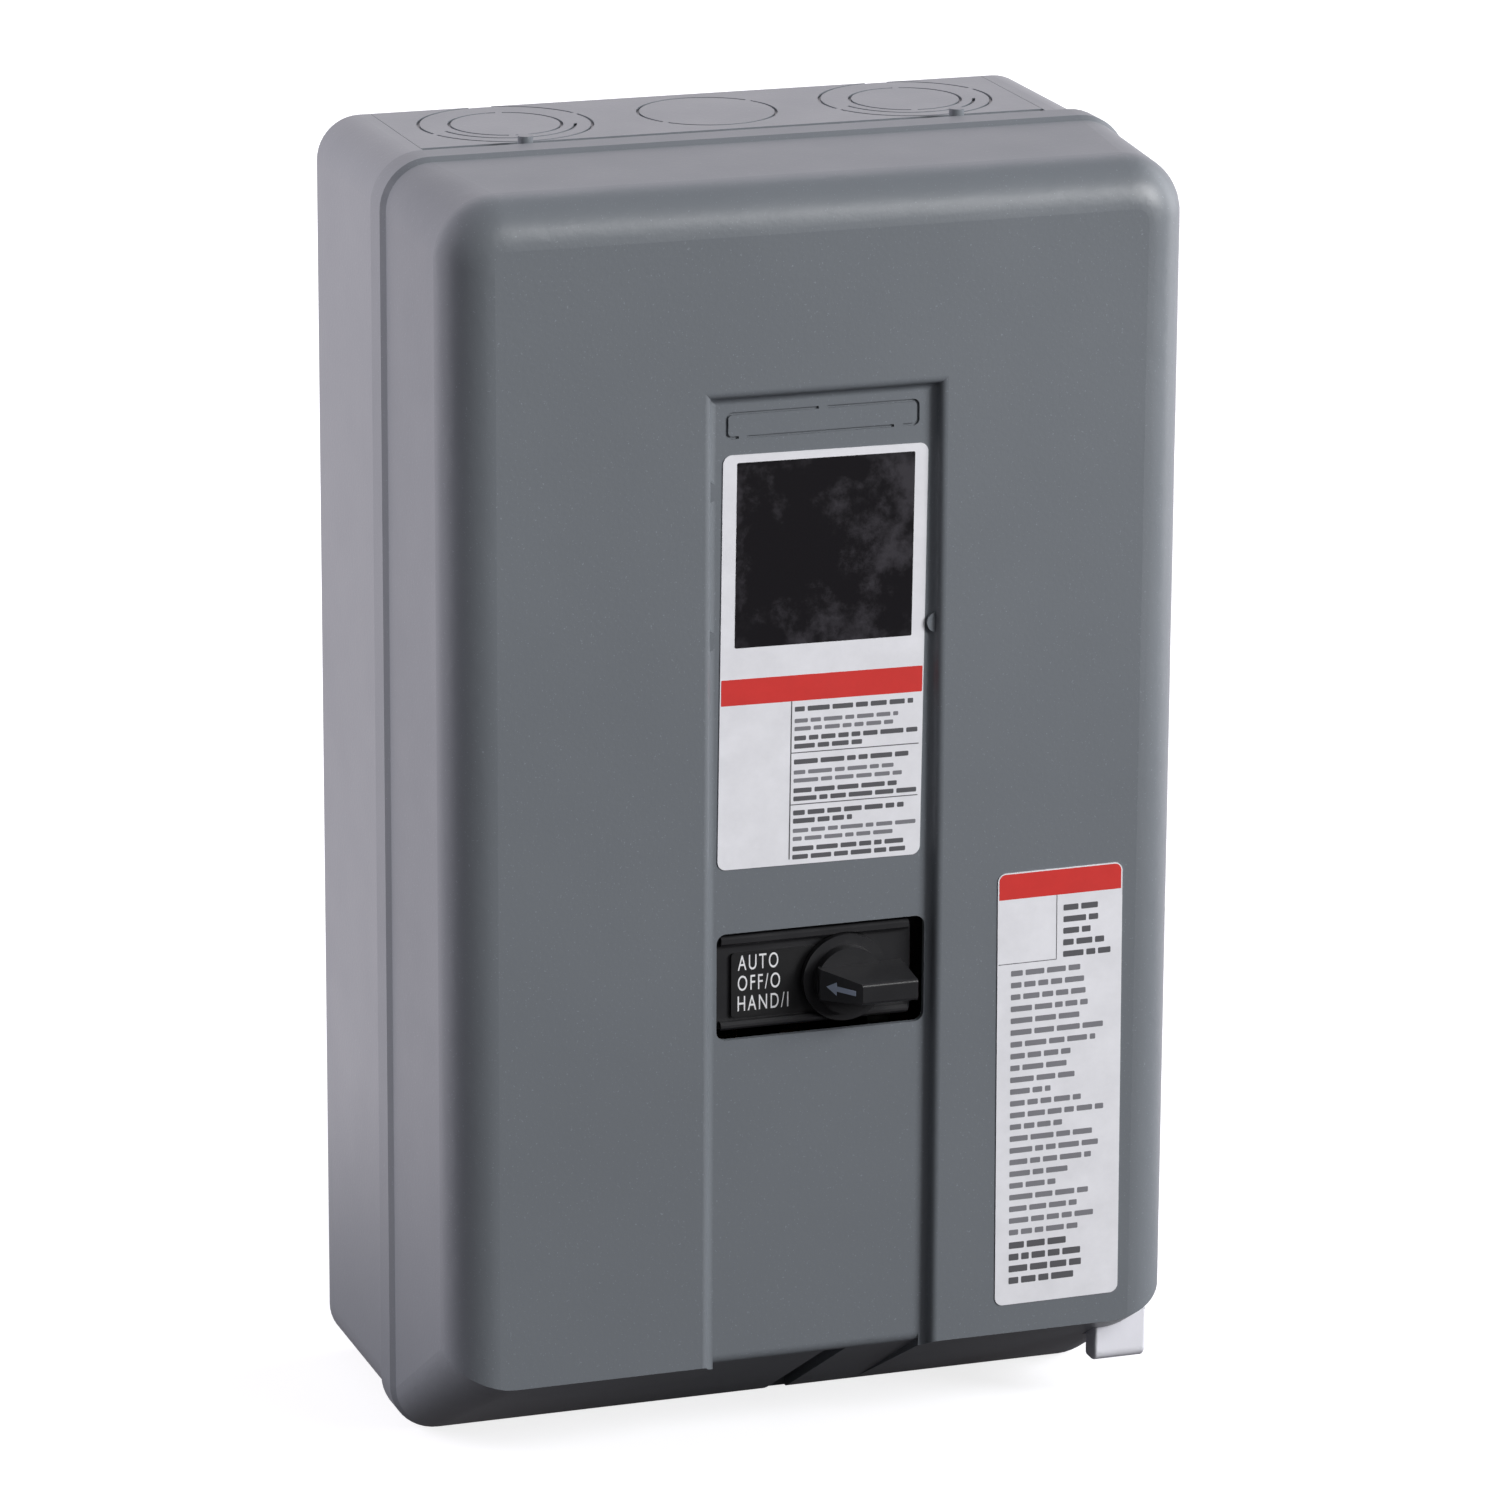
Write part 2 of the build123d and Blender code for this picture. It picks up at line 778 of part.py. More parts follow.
with BuildPart() as contact_block:
    slab(
        -contactor_half_w,
        contactor_half_w,
        contactor_low,
        contactor_high,
        base_front,
        block_front,
        radius=2.0,
    )
    pocket(
        -cavity_half_w,
        cavity_half_w,
        contactor_z - cavity_half_h,
        contactor_z + cavity_half_h,
        base_front,
        armature_front + 2,
    )
    pocket(
        -cavity_half_w,
        cavity_half_w,
        contactor_z - throat_half_h,
        contactor_z + throat_half_h,
        base_front,
        block_front,
    )
    for x in poles:
        for side in (1, -1):
            inner_end = contactor_z + side * (strip_inner - 0.5)
            outer_end = contactor_z + side * (contactor_high - contactor_low) / 2 + side
            pocket(x - channel_half_w, x + channel_half_w, inner_end, outer_end, strip_back, block_front)
            hole(
                x, contactor_z + side * terminal_reach, terminal_screw_r + play, strip_back - 6, strip_back
            )
    for x, z in contactor_screws_at:
        hole(x, z, device_screw_r + play, base_front, block_front)
    for x in (-arc_screw_x, arc_screw_x):
        hole(x, contactor_z, arc_screw_r + play, block_front - 10, block_front)
contact_block.part.label = "contact_block"
export_step(contact_block.part, "parts/contact_block.step")


def fixed_contacts(side):
    """Three terminal strips with their contact buttons; side 1 is the line end and -1 the load end."""
    with BuildPart() as strips:
        for x in poles:
            inner_end = contactor_z + side * strip_inner
            outer_end = contactor_z + side * strip_outer
            slab(x - strip_half_w, x + strip_half_w, inner_end, outer_end, strip_back, strip_front)
            peg(x, contactor_z + side * button_reach, 2.6, strip_front, strip_front + button_height)
            hole(x, contactor_z + side * terminal_reach, terminal_screw_r + play, strip_back, strip_front)
    return strips


line_contacts = fixed_contacts(1)
line_contacts.part.label = "line_contacts"
export_step(line_contacts.part, "parts/line_contacts.step")

load_contacts = fixed_contacts(-1)
load_contacts.part.label = "load_contacts"
export_step(load_contacts.part, "parts/load_contacts.step")

clamp_thickness = 1.0
terminal_head_r = 3.4
terminal_head_height = 2.6

with BuildPart() as line_terminal_screws:
    for x in poles:
        z = contactor_z + terminal_reach
        seat = strip_front + clamp_thickness
        slab(x - 3.8, x + 3.8, z - 4, z + 4, strip_front, seat)
        screw(x, z, terminal_head_r, terminal_head_height, terminal_screw_r, strip_back - 5, seat)
line_terminal_screws.part.label = "line_terminal_screws"
export_step(line_terminal_screws.part, "parts/line_terminal_screws.step")

tower_half_w = 5.5
tower_half_h = 5.5
tower_front = 74.0
window_front = 72.0
carrier_plate = 4.0
carrier_half_h = 15.0

with BuildPart() as contact_carrier:
    slab(
        -carrier_half_w,
        carrier_half_w,
        contactor_z - carrier_half_h,
        contactor_z + carrier_half_h,
        armature_front,
        armature_front + carrier_plate,
    )
    for x in poles:
        slab(
            x - tower_half_w,
            x + tower_half_w,
            contactor_z - tower_half_h,
            contactor_z + tower_half_h,
            armature_front + carrier_plate,
            tower_front,
        )
        pocket(
            x - bridge_half_w - side_gap,
            x + bridge_half_w + side_gap,
            contactor_z - tower_half_h,
            contactor_z + tower_half_h,
            bridge_back,
            window_front,
        )
contact_carrier.part.label = "contact_carrier"
export_step(contact_carrier.part, "parts/contact_carrier.step")

with BuildPart() as contact_bridges:
    for x in poles:
        slab(
            x - bridge_half_w,
            x + bridge_half_w,
            contactor_z - bridge_half_h,
            contactor_z + bridge_half_h,
            bridge_back,
            bridge_back + bridge_thickness,
        )
        for side in (1, -1):
            peg(x, contactor_z + side * button_reach, 2.4, bridge_button_back, bridge_back)
contact_bridges.part.label = "contact_bridges"
export_step(contact_bridges.part, "parts/contact_bridges.step")

with BuildPart() as contact_springs:
    for x in poles:
        front = bridge_back + bridge_thickness
        spring((x, -front, contactor_z), (0, -1, 0), window_front - front, 2.2, 0.35, 5)
contact_springs.part.label = "contact_springs"
export_step(contact_springs.part, "parts/contact_springs.step")

return_spring_x = 17.5

with BuildPart() as return_springs:
    for x in (-return_spring_x, return_spring_x):
        spring(
            (x, -bobbin_front, contactor_z), (0, -1, 0), armature_front - bobbin_front, 2.6, 0.4, 6
        )
return_springs.part.label = "return_springs"
export_step(return_springs.part, "parts/return_springs.step")

with BuildPart() as arc_cover:
    slab(
        -contactor_half_w,
        contactor_half_w,
        contactor_z - 28,
        contactor_z + 28,
        block_front,
        arc_front,
        radius=2.0,
    )
    pocket(-cavity_half_w, cavity_half_w, contactor_z - 17, contactor_z + 17, block_front, arc_front - 4)
    pocket(-20, 20, contactor_z - 8, contactor_z + 8, arc_front - 0.6, arc_front, radius=1.5)
    for x in poles:
        for side in (1, -1):
            z = contactor_z + side * 21.5
            pocket(x - 6, x + 6, z - 1, z + 1, block_front, arc_front)
    for x in (-arc_screw_x, arc_screw_x):
        hole(x, contactor_z, arc_screw_r + play, block_front, arc_front)
    fillet(arc_cover.edges().filter_by_position(Axis.Y, -arc_front - 0.01, -arc_front + 0.01)
           .filter_by(lambda e: e.length > 50), 1.0)
arc_cover.part.label = "arc_cover"
export_step(arc_cover.part, "parts/arc_cover.step")

with BuildPart() as arc_cover_screws:
    for x in (-arc_screw_x, arc_screw_x):
        screw(x, contactor_z, small_head_r, small_head, arc_screw_r, block_front - 9, arc_front)
arc_cover_screws.part.label = "arc_cover_screws"
export_step(arc_cover_screws.part, "parts/arc_cover_screws.step")

with BuildPart() as contactor_screws:
    for x, z in contactor_screws_at:
        screw(x, z, device_head_r, device_head, device_screw_r, plate_back + slip, block_front)
contactor_screws.part.label = "contactor_screws"
export_step(contactor_screws.part, "parts/contactor_screws.step")

# ---------------------------------------------------------------- overload relay
strap_thickness = 1.2
strap_half_w = 3.5
relay_line_z = -8.0
motor_terminal_z = relay_low + 11.0
heater_screw_zs = (-25.0, -57.0)
heater_screw_r = 1.8
heater_z = sum(heater_screw_zs) / 2
bay_floor = relay_front + 2.0
bay_half_w = 8.0

with BuildPart() as link_straps:
    for x in poles:
        low = contactor_low - 4
        slab(x - strap_half_w, x + strap_half_w, low, 24, strip_front, strip_front + strap_thickness)
        slab(x - strap_half_w, x + strap_half_w, low, low + strap_thickness, relay_front, strip_front)
        slab(
            x - strap_half_w,
            x + strap_half_w,
            relay_line_z - 6,
            low + strap_thickness,
            relay_front,
            relay_front + strap_thickness,
        )
        hole(
            x,
            contactor_z - terminal_reach,
            terminal_screw_r + play,
            strip_front,
            strip_front + strap_thickness,
        )
        hole(x, relay_line_z, terminal_screw_r + play, relay_front, relay_front + strap_thickness)
link_straps.part.label = "link_straps"
export_step(link_straps.part, "parts/link_straps.step")

with BuildPart() as load_terminal_screws:
    for x in poles:
        screw(
            x,
            contactor_z - terminal_reach,
            terminal_head_r,
            terminal_head_height,
            terminal_screw_r,
            strip_back - 5,
            strip_front + strap_thickness,
        )
load_terminal_screws.part.label = "load_terminal_screws"
export_step(load_terminal_screws.part, "parts/load_terminal_screws.step")

with BuildPart() as overload_base:
    slab(-relay_half_w, relay_half_w, relay_low, 0, plate_front, relay_front, radius=2.0)
    slab(-relay_half_w, relay_half_w, relay_low + 22, -16, relay_front, relay_bay_front)
    for x in poles:
        pocket(x - bay_half_w, x + bay_half_w, -62, -20, bay_floor, relay_bay_front)
        for z in (relay_line_z, motor_terminal_z):
            hole(x, z, terminal_screw_r + play, relay_front - 7, relay_front)
        for z in heater_screw_zs:
            hole(x, z, heater_screw_r + play, bay_floor - 8, bay_floor)
    for x, z in relay_screws_at:
        hole(x, z, device_screw_r + play, plate_front, relay_front)
overload_base.part.label = "overload_base"
export_step(overload_base.part, "parts/overload_base.step")

with BuildPart() as overload_screws:
    for x, z in relay_screws_at:
        screw(x, z, device_head_r, device_head, device_screw_r, plate_back + slip, relay_front)
overload_screws.part.label = "overload_screws"
export_step(overload_screws.part, "parts/overload_screws.step")

heater_strip = 1.2
heater_r = 6.2
for number, x in enumerate(poles, start=1):
    with BuildPart() as thermal_unit:
        slab(x - 5, x + 5, -61, -21, bay_floor, bay_floor + heater_strip)
        for z in heater_screw_zs:
            hole(x, z, heater_screw_r + play, bay_floor, bay_floor + heater_strip)
        peg(x, heater_z, heater_r, bay_floor + heater_strip, relay_bay_front + 1)
        peg(x, heater_z, heater_r - 2.2, relay_bay_front + 1, relay_bay_front + 2.5)
        for turn in range(3):
            ring = bay_floor + heater_strip + 1 + 2.2 * turn
            peg(x, heater_z, heater_r + 0.7, ring, ring + 1.2)
    thermal_unit.part.label = f"thermal_unit_{number}"
    export_step(thermal_unit.part, f"parts/thermal_unit_{number}.step")

with BuildPart() as thermal_unit_screws:
    for x in poles:
        for z in heater_screw_zs:
            screw(x, z, small_head_r, small_head, heater_screw_r, bay_floor - 7, bay_floor + heater_strip)
thermal_unit_screws.part.label = "thermal_unit_screws"
export_step(thermal_unit_screws.part, "parts/thermal_unit_screws.step")

with BuildPart() as motor_terminals:
    for x in poles:
        slab(
            x - strip_half_w,
            x + strip_half_w,
            relay_low + 2,
            relay_low + 20,
            relay_front,
            relay_front + strap_thickness,
        )
        hole(x, motor_terminal_z, terminal_screw_r + play, relay_front, relay_front + strap_thickness)
motor_terminals.part.label = "motor_terminals"
export_step(motor_terminals.part, "parts/motor_terminals.step")

with BuildPart() as overload_terminal_screws:
    for x in poles:
        for z in (relay_line_z, motor_terminal_z):
            screw(
                x,
                z,
                terminal_head_r,
                terminal_head_height,
                terminal_screw_r,
                relay_front - 6,
                relay_front + strap_thickness,
            )
overload_terminal_screws.part.label = "overload_terminal_screws"
export_step(overload_terminal_screws.part, "parts/overload_terminal_screws.step")

# Trip contact module with the reset bar running in a groove down its face
module_left = relay_half_w
module_right = module_left + 16.0
module_low = -70.0
module_high = -14.0
module_front = plate_front + 32.0
bar_x = module_left + 8.0
bar_half_w = 2.0
groove_floor = module_front - 3.0
groove_top = -34.0
bar_top = groove_top - lever_travel - 4.0
bar_foot_low = -78.0
bar_foot_high = -72.0
module_screw_zs = (-19.0, -27.0)

with BuildPart() as trip_module:
    slab(module_left, module_right, module_low, module_high, plate_front, module_front, radius=1.0)
    pocket(
        bar_x - bar_half_w - side_gap,
        bar_x + bar_half_w + side_gap,
        module_low - 1,
        groove_top,
        groove_floor,
        module_front,
    )
    for z in module_screw_zs:
        hole(bar_x, z, coil_screw_r + play, module_front - 7, module_front)
trip_module.part.label = "trip_module"
export_step(trip_module.part, "parts/trip_module.step")

with BuildPart() as trip_terminal_screws:
    for z in module_screw_zs:
        screw(bar_x, z, coil_head_r, coil_head, coil_screw_r, module_front - 6, module_front)
trip_terminal_screws.part.label = "trip_terminal_screws"
export_step(trip_terminal_screws.part, "parts/trip_terminal_screws.step")

with BuildPart() as reset_bar:
    slab(bar_x - bar_half_w, bar_x + bar_half_w, bar_foot_low, bar_top, groove_floor + side_gap, module_front)
    slab(
        bar_x - bar_half_w,
        bar_x + bar_half_w,
        bar_foot_low,
        bar_foot_high,
        groove_floor + side_gap,
        lever_depth + 3,
    )
    slab(bar_x - bar_half_w, lever_x + 4, bar_foot_low, bar_foot_low + 4, lever_depth - 3, lever_depth + 3)
reset_bar.part.label = "reset_bar"
export_step(reset_bar.part, "parts/reset_bar.step")

with BuildPart() as reset_bar_spring:
    spring((bar_x, -(module_front - 1.0), bar_top), (0, 0, 1), groove_top - bar_top, 1.6, 0.3, 5)
reset_bar_spring.part.label = "reset_bar_spring"
export_step(reset_bar_spring.part, "parts/reset_bar_spring.step")

# ---------------------------------------------------------------- reset lever in the cover
stem_half_w = 3.0
stem_top = bar_foot_low - 0.4
guide_low = front_bottom + 25.0
guide_high = guide_low + 6.0
collar_high = guide_low - 18.0
collar_low = collar_high - 2.0
tab_top = collar_low - 7.0
tab_low = front_bottom - tab_reach - 3.8
tab_roll = 3.2

with BuildPart() as reset_lever:
    slab(
        lever_x - stem_half_w,
        lever_x + stem_half_w,
        tab_top,
        stem_top,
        lever_depth - lever_half_depth,
        lever_depth + lever_half_depth,
    )
    slab(
        lever_x - stem_half_w - guide_wall,
        lever_x + stem_half_w + guide_wall,
        collar_low,
        collar_high,
        lever_depth - lever_half_depth - guide_wall,
        lever_depth + lever_half_depth + guide_wall,
    )
    with BuildSketch(Plane.YZ.offset(lever_x - tab_width / 2)):
        with BuildLine():
            FilletPolyline(
                (-tab_back, tab_top),
                (-tab_back, tab_low),
                (-tab_front, tab_low),
                (-tab_front, tab_top),
                radius=(1.2, tab_roll),
            )
            Line((-tab_front, tab_top), (-tab_back, tab_top))
        make_face()
    extrude(amount=tab_width)
    fillet(reset_lever.edges().filter_by_position(Axis.Y, -tab_front - 0.01, -tab_front + 0.01)
           .filter_by(Axis.Z), 0.8)
reset_lever.part.label = "reset_lever"
export_step(reset_lever.part, "parts/reset_lever.step")

with BuildPart() as lever_guide:
    slab(
        lever_x - guide_reach,
        lever_x + stem_half_w + 3.0,
        guide_low,
        guide_high,
        lever_depth - 5,
        lever_depth + 5,
    )
    slab(
        lever_x - guide_reach,
        lever_x - 8,
        guide_low - 4,
        guide_high + 4,
        lever_depth + 5,
        overall_depth - sheet,
    )
    pocket(
        lever_x - stem_half_w - side_gap,
        lever_x + stem_half_w + side_gap,
        guide_low,
        guide_high,
        lever_depth - lever_half_depth - side_gap,
        lever_depth + lever_half_depth + side_gap,
    )
lever_guide.part.label = "lever_guide"
export_step(lever_guide.part, "parts/lever_guide.step")

with BuildPart() as lever_spring:
    spring((lever_x, -lever_depth, collar_high), (0, 0, 1), guide_low - collar_high, 4.3, 0.45, 5)
lever_spring.part.label = "lever_spring"
export_step(lever_spring.part, "parts/lever_spring.step")

# ---------------------------------------------------------------- selector
bracket_left = -46.0
bracket_right = 60.0
bracket_low = -54.0
bracket_high = -23.0
bracket_back = bracket_front - sheet
foot_length = 11.5
crank_pass_r = 7.6
selector_screw_at = ((-19.0, opening_z), (23.3, opening_z))
selector_screw_r = 1.5

with BuildPart() as selector_bracket:
    slab(bracket_left, bracket_right, bracket_low, bracket_high, bracket_back, bracket_front)
    for edge, side in ((bracket_left, -1), (bracket_right, 1)):
        slab(edge, edge - side * sheet, bracket_low, bracket_high, plate_front, bracket_front)
        slab(
            edge - side * sheet,
            edge + side * (foot_length - sheet),
            bracket_low,
            bracket_high,
            plate_front,
            plate_front + sheet,
        )
    for x in foot_screw_xs:
        hole(x, foot_screw_z, device_screw_r + play, plate_front, plate_front + sheet)
    hole(knob_x, knob_z, crank_pass_r, bracket_back, bracket_front)
    for x, z in selector_screw_at:
        hole(x, z, selector_screw_r + play, bracket_back, bracket_front)
selector_bracket.part.label = "selector_bracket"
export_step(selector_bracket.part, "parts/selector_bracket.step")

with BuildPart() as bracket_screws:
    for x in foot_screw_xs:
        screw(
            x,
            foot_screw_z,
            device_head_r,
            device_head,
            device_screw_r,
            plate_back + slip,
            plate_front + sheet,
        )
bracket_screws.part.label = "bracket_screws"
export_step(bracket_screws.part, "parts/bracket_screws.step")

selector_left = opening_left + 0.7
selector_right = opening_right - 2.6
selector_low = opening_low + 2.1
selector_high = opening_high - 1.2
selector_front = panel_floor - 3.3
ledge_front = selector_front + 2.0
bushing_back = selector_front - 4.0
collar_r = 11.2

with BuildPart() as selector_body:
    slab(
        selector_left,
        selector_right,
        selector_low,
        selector_high,
        bracket_front,
        selector_front,
        radius=1.0,
    )
    for low, high in ((selector_high - 2.6, selector_high), (selector_low, selector_low + 2.0)):
        slab(selector_left + 1, selector_right - 1, low, high, selector_front, ledge_front)
    chamfer(selector_body.edges().filter_by_position(Axis.Y, -ledge_front - 0.01, -ledge_front + 0.01)
            .filter_by(Axis.X), 0.7)
    hole(knob_x, knob_z, collar_r + 0.4, selector_front, ledge_front)
    hole(knob_x, knob_z, 9.0, bracket_front, bushing_back)
    hole(knob_x, knob_z, hub_r + play, bushing_back, selector_front)
    for x, z in selector_screw_at:
        hole(x, z, selector_screw_r + play, bracket_front, bracket_front + 10)
selector_body.part.label = "selector_body"
export_step(selector_body.part, "parts/selector_body.step")

with BuildPart() as selector_screws:
    for x, z in selector_screw_at:
        peg(x, z, selector_screw_r, bracket_back, bracket_front + 9)
        peg(x, z, 2.2, bracket_back - 1.8, bracket_back)
selector_screws.part.label = "selector_screws"
export_step(selector_screws.part, "parts/selector_screws.step")

legend_thickness = 0.8
legend_left = selector_left + 4.0
legend_right = knob_x - hub_r - 1.8
legend_half_h = 8.3

with BuildPart() as legend_plate:
    slab(
        legend_left,
        legend_right,
        knob_z - legend_half_h,
        knob_z + legend_half_h,
        selector_front,
        selector_front + legend_thickness,
        radius=0.8,
    )
legend_plate.part.label = "legend_plate"
export_step(legend_plate.part, "parts/legend_plate.step")

collar_back = selector_front + legend_thickness + 0.4
collar_front = collar_back + 1.8
disc_r = 8.6
disc_front = collar_front + 3.0
handle_front = overall_depth + 11.5
handle_left = knob_x - 0.8
handle_right = knob_x + 13.7
handle_base_half = 4.2
handle_tip_half = 2.6
wedge_left = knob_x - 8.2
wedge_back = disc_front + 0.6

with BuildPart() as selector_knob:
    peg(knob_x, knob_z, hub_r, bushing_back - 6, collar_back)
    peg(knob_x, knob_z, collar_r, collar_back, collar_front)
    peg(knob_x, knob_z, disc_r, collar_front, disc_front)
    for depth, half in ((disc_front - 1, handle_base_half), (handle_front, handle_tip_half)):
        with BuildSketch(Plane.XZ.offset(depth)):
            with Locations(((wedge_left + handle_right) / 2, knob_z)):
                Rectangle(handle_right - wedge_left, 2 * half)
    loft()
    with BuildSketch(Plane.XY.offset(knob_z - collar_r)):
        with BuildLine():
            Polyline(
                (handle_left, -handle_front),
                (wedge_left, -wedge_back),
                (wedge_left - 2, -wedge_back),
                (wedge_left - 2, -handle_front - 2),
                (handle_left, -handle_front - 2),
                close=True,
            )
        make_face()
    extrude(amount=2 * collar_r, mode=Mode.SUBTRACT)
    fillet(selector_knob.edges().filter_by_position(Axis.Y, -handle_front - 0.01, -handle_front + 0.01)
           .filter_by(Axis.X), 0.8)
    hole(knob_x, knob_z, shaft_r, bushing_back - 6, collar_front)
selector_knob.part.label = "selector_knob"
export_step(selector_knob.part, "parts/selector_knob.step")

# Arrow inlay on the sloping end of the handle, pointing at the legend
slope_run = Vector(wedge_left - handle_left, handle_front - wedge_back, 0)
slope_top = Vector(handle_left, -handle_front, knob_z)
slope_normal = Vector(0, 0, 1).cross(slope_run)
slope_plane = Plane(origin=slope_top + slope_run * 0.5, x_dir=slope_run, z_dir=slope_normal)
arrow_half_length = 4.6
arrow_head = 3.2

with BuildPart() as knob_arrow:
    with BuildSketch(slope_plane):
        with BuildLine():
            Polyline(
                (arrow_half_length, 0),
                (arrow_half_length - arrow_head, 1.7),
                (arrow_half_length - arrow_head, 0.65),
                (-arrow_half_length, 0.65),
                (-arrow_half_length, -0.65),
                (arrow_half_length - arrow_head, -0.65),
                (arrow_half_length - arrow_head, -1.7),
                close=True,
            )
        make_face()
    extrude(amount=0.15)
knob_arrow.part.label = "knob_arrow"
export_step(knob_arrow.part, "parts/knob_arrow.step")

crank_disc_back = bracket_back - 6.5
crank_disc_front = crank_disc_back + 2.0
slider_back = 70.3
slider_front = 75.0

with BuildPart() as selector_shaft:
    peg(knob_x, knob_z, shaft_r, crank_disc_front, collar_front)
    peg(knob_x, knob_z, crank_pass_r - 0.6, crank_disc_back, crank_disc_front)
    peg(knob_x, knob_z + crank_r, crank_pin_r, slider_back + 1, crank_disc_back)
selector_shaft.part.label = "selector_shaft"
export_step(selector_shaft.part, "parts/selector_shaft.step")

switch_half_w = 13.0
switch_half_h = 14.0
switch_back = 62.0
chamber_half_w = 10.6
chamber_half_h = 10.0

with BuildPart() as switch_block:
    slab(
        knob_x - switch_half_w,
        knob_x + switch_half_w,
        knob_z - switch_half_h,
        knob_z + switch_half_h,
        switch_back,
        bracket_back,
        radius=1.0,
    )
    pocket(
        knob_x - chamber_half_w,
        knob_x + chamber_half_w,
        knob_z - chamber_half_h,
        knob_z + chamber_half_h,
        slider_back - slip,
        bracket_back - 2,
    )
    hole(knob_x, knob_z, crank_pass_r, bracket_back - 2, bracket_back)
switch_block.part.label = "switch_block"
export_step(switch_block.part, "parts/switch_block.step")

slider_half_w = 6.4
pin_slot_half_w = crank_pin_r + 0.35

with BuildPart() as switch_slider:
    slab(
        knob_x - slider_half_w,
        knob_x + slider_half_w,
        knob_z - chamber_half_h + slip,
        knob_z + chamber_half_h - slip,
        slider_back,
        slider_front,
    )
    pocket(
        knob_x - pin_slot_half_w,
        knob_x + pin_slot_half_w,
        knob_z + 1.6,
        knob_z + crank_r + crank_pin_r + 0.5,
        slider_back,
        slider_front,
    )
switch_slider.part.label = "switch_slider"
export_step(switch_slider.part, "parts/switch_slider.step")

with BuildPart() as switch_terminal_screws:
    for x in (knob_x - 9, knob_x - 3, knob_x + 3, knob_x + 9):
        with BuildSketch(Plane.XY.offset(knob_z + switch_half_h)):
            with Locations((x, -switch_back - 4)):
                Circle(2.2)
        extrude(amount=1.8)
        with BuildSketch(Plane.XY.offset(knob_z + switch_half_h + 1.8)):
            with Locations((x, -switch_back - 4)):
                Rectangle(4.4, 0.6)
        extrude(amount=-0.9, mode=Mode.SUBTRACT)
switch_terminal_screws.part.label = "switch_terminal_screws"
export_step(switch_terminal_screws.part, "parts/switch_terminal_screws.step")

# ---------------------------------------------------------------- ground lug
lug_x = half_w - sheet - 12.0
lug_z = -101.0
lug_half_w = 6.0
lug_half_h = 7.0
lug_front = sheet + 9.0
lug_screw_r = 2.0

with BuildPart() as ground_lug:
    slab(lug_x - lug_half_w, lug_x + lug_half_w, lug_z - lug_half_h, lug_z + lug_half_h, sheet, lug_front)
    with BuildSketch(Plane.XY.offset(lug_z - lug_half_h)):
        with Locations((lug_x, -sheet - 4.2)):
            Circle(2.6)
    extrude(amount=2 * lug_half_h, mode=Mode.SUBTRACT)
    hole(lug_x, lug_z, lug_screw_r + play, sheet + 4.2, lug_front)
ground_lug.part.label = "ground_lug"
export_step(ground_lug.part, "parts/ground_lug.step")

with BuildPart() as ground_screw:
    screw(lug_x, lug_z, 3.6, 2.6, lug_screw_r, sheet + 6, lug_front)
ground_screw.part.label = "ground_screw"
export_step(ground_screw.part, "parts/ground_screw.step")
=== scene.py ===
"""Looks of the enclosed motor starter: finishes, printed labels, selector detail, studio and camera.

Metres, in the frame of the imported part: +Z up, the front faces -Y, the wall is at y = 0.
"""

import json
import math
import random

import bmesh
import bpy
from mathutils import Matrix, Vector


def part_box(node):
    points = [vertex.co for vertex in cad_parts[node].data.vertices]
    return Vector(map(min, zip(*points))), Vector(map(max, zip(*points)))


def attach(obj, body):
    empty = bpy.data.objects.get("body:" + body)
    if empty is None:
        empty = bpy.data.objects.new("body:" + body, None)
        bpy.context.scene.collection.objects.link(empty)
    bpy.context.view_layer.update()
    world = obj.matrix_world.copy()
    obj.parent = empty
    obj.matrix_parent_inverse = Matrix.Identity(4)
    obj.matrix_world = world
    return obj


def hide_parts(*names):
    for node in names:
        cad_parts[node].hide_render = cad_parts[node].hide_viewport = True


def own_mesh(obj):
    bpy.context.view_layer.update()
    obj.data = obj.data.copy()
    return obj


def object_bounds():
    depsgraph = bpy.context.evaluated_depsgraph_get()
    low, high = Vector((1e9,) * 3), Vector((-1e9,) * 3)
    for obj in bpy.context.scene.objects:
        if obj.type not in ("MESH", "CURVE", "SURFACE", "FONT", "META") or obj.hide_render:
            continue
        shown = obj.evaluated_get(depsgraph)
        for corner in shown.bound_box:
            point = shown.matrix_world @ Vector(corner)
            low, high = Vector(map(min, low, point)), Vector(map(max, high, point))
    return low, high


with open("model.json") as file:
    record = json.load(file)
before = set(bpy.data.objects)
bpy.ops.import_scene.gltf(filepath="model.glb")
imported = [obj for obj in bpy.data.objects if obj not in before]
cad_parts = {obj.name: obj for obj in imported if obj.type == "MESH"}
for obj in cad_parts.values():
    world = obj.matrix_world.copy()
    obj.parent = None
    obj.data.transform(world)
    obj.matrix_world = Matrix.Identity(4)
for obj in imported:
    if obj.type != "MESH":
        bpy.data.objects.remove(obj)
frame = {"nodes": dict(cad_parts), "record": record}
nodes = frame["nodes"]
cad_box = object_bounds()
MM = 0.001


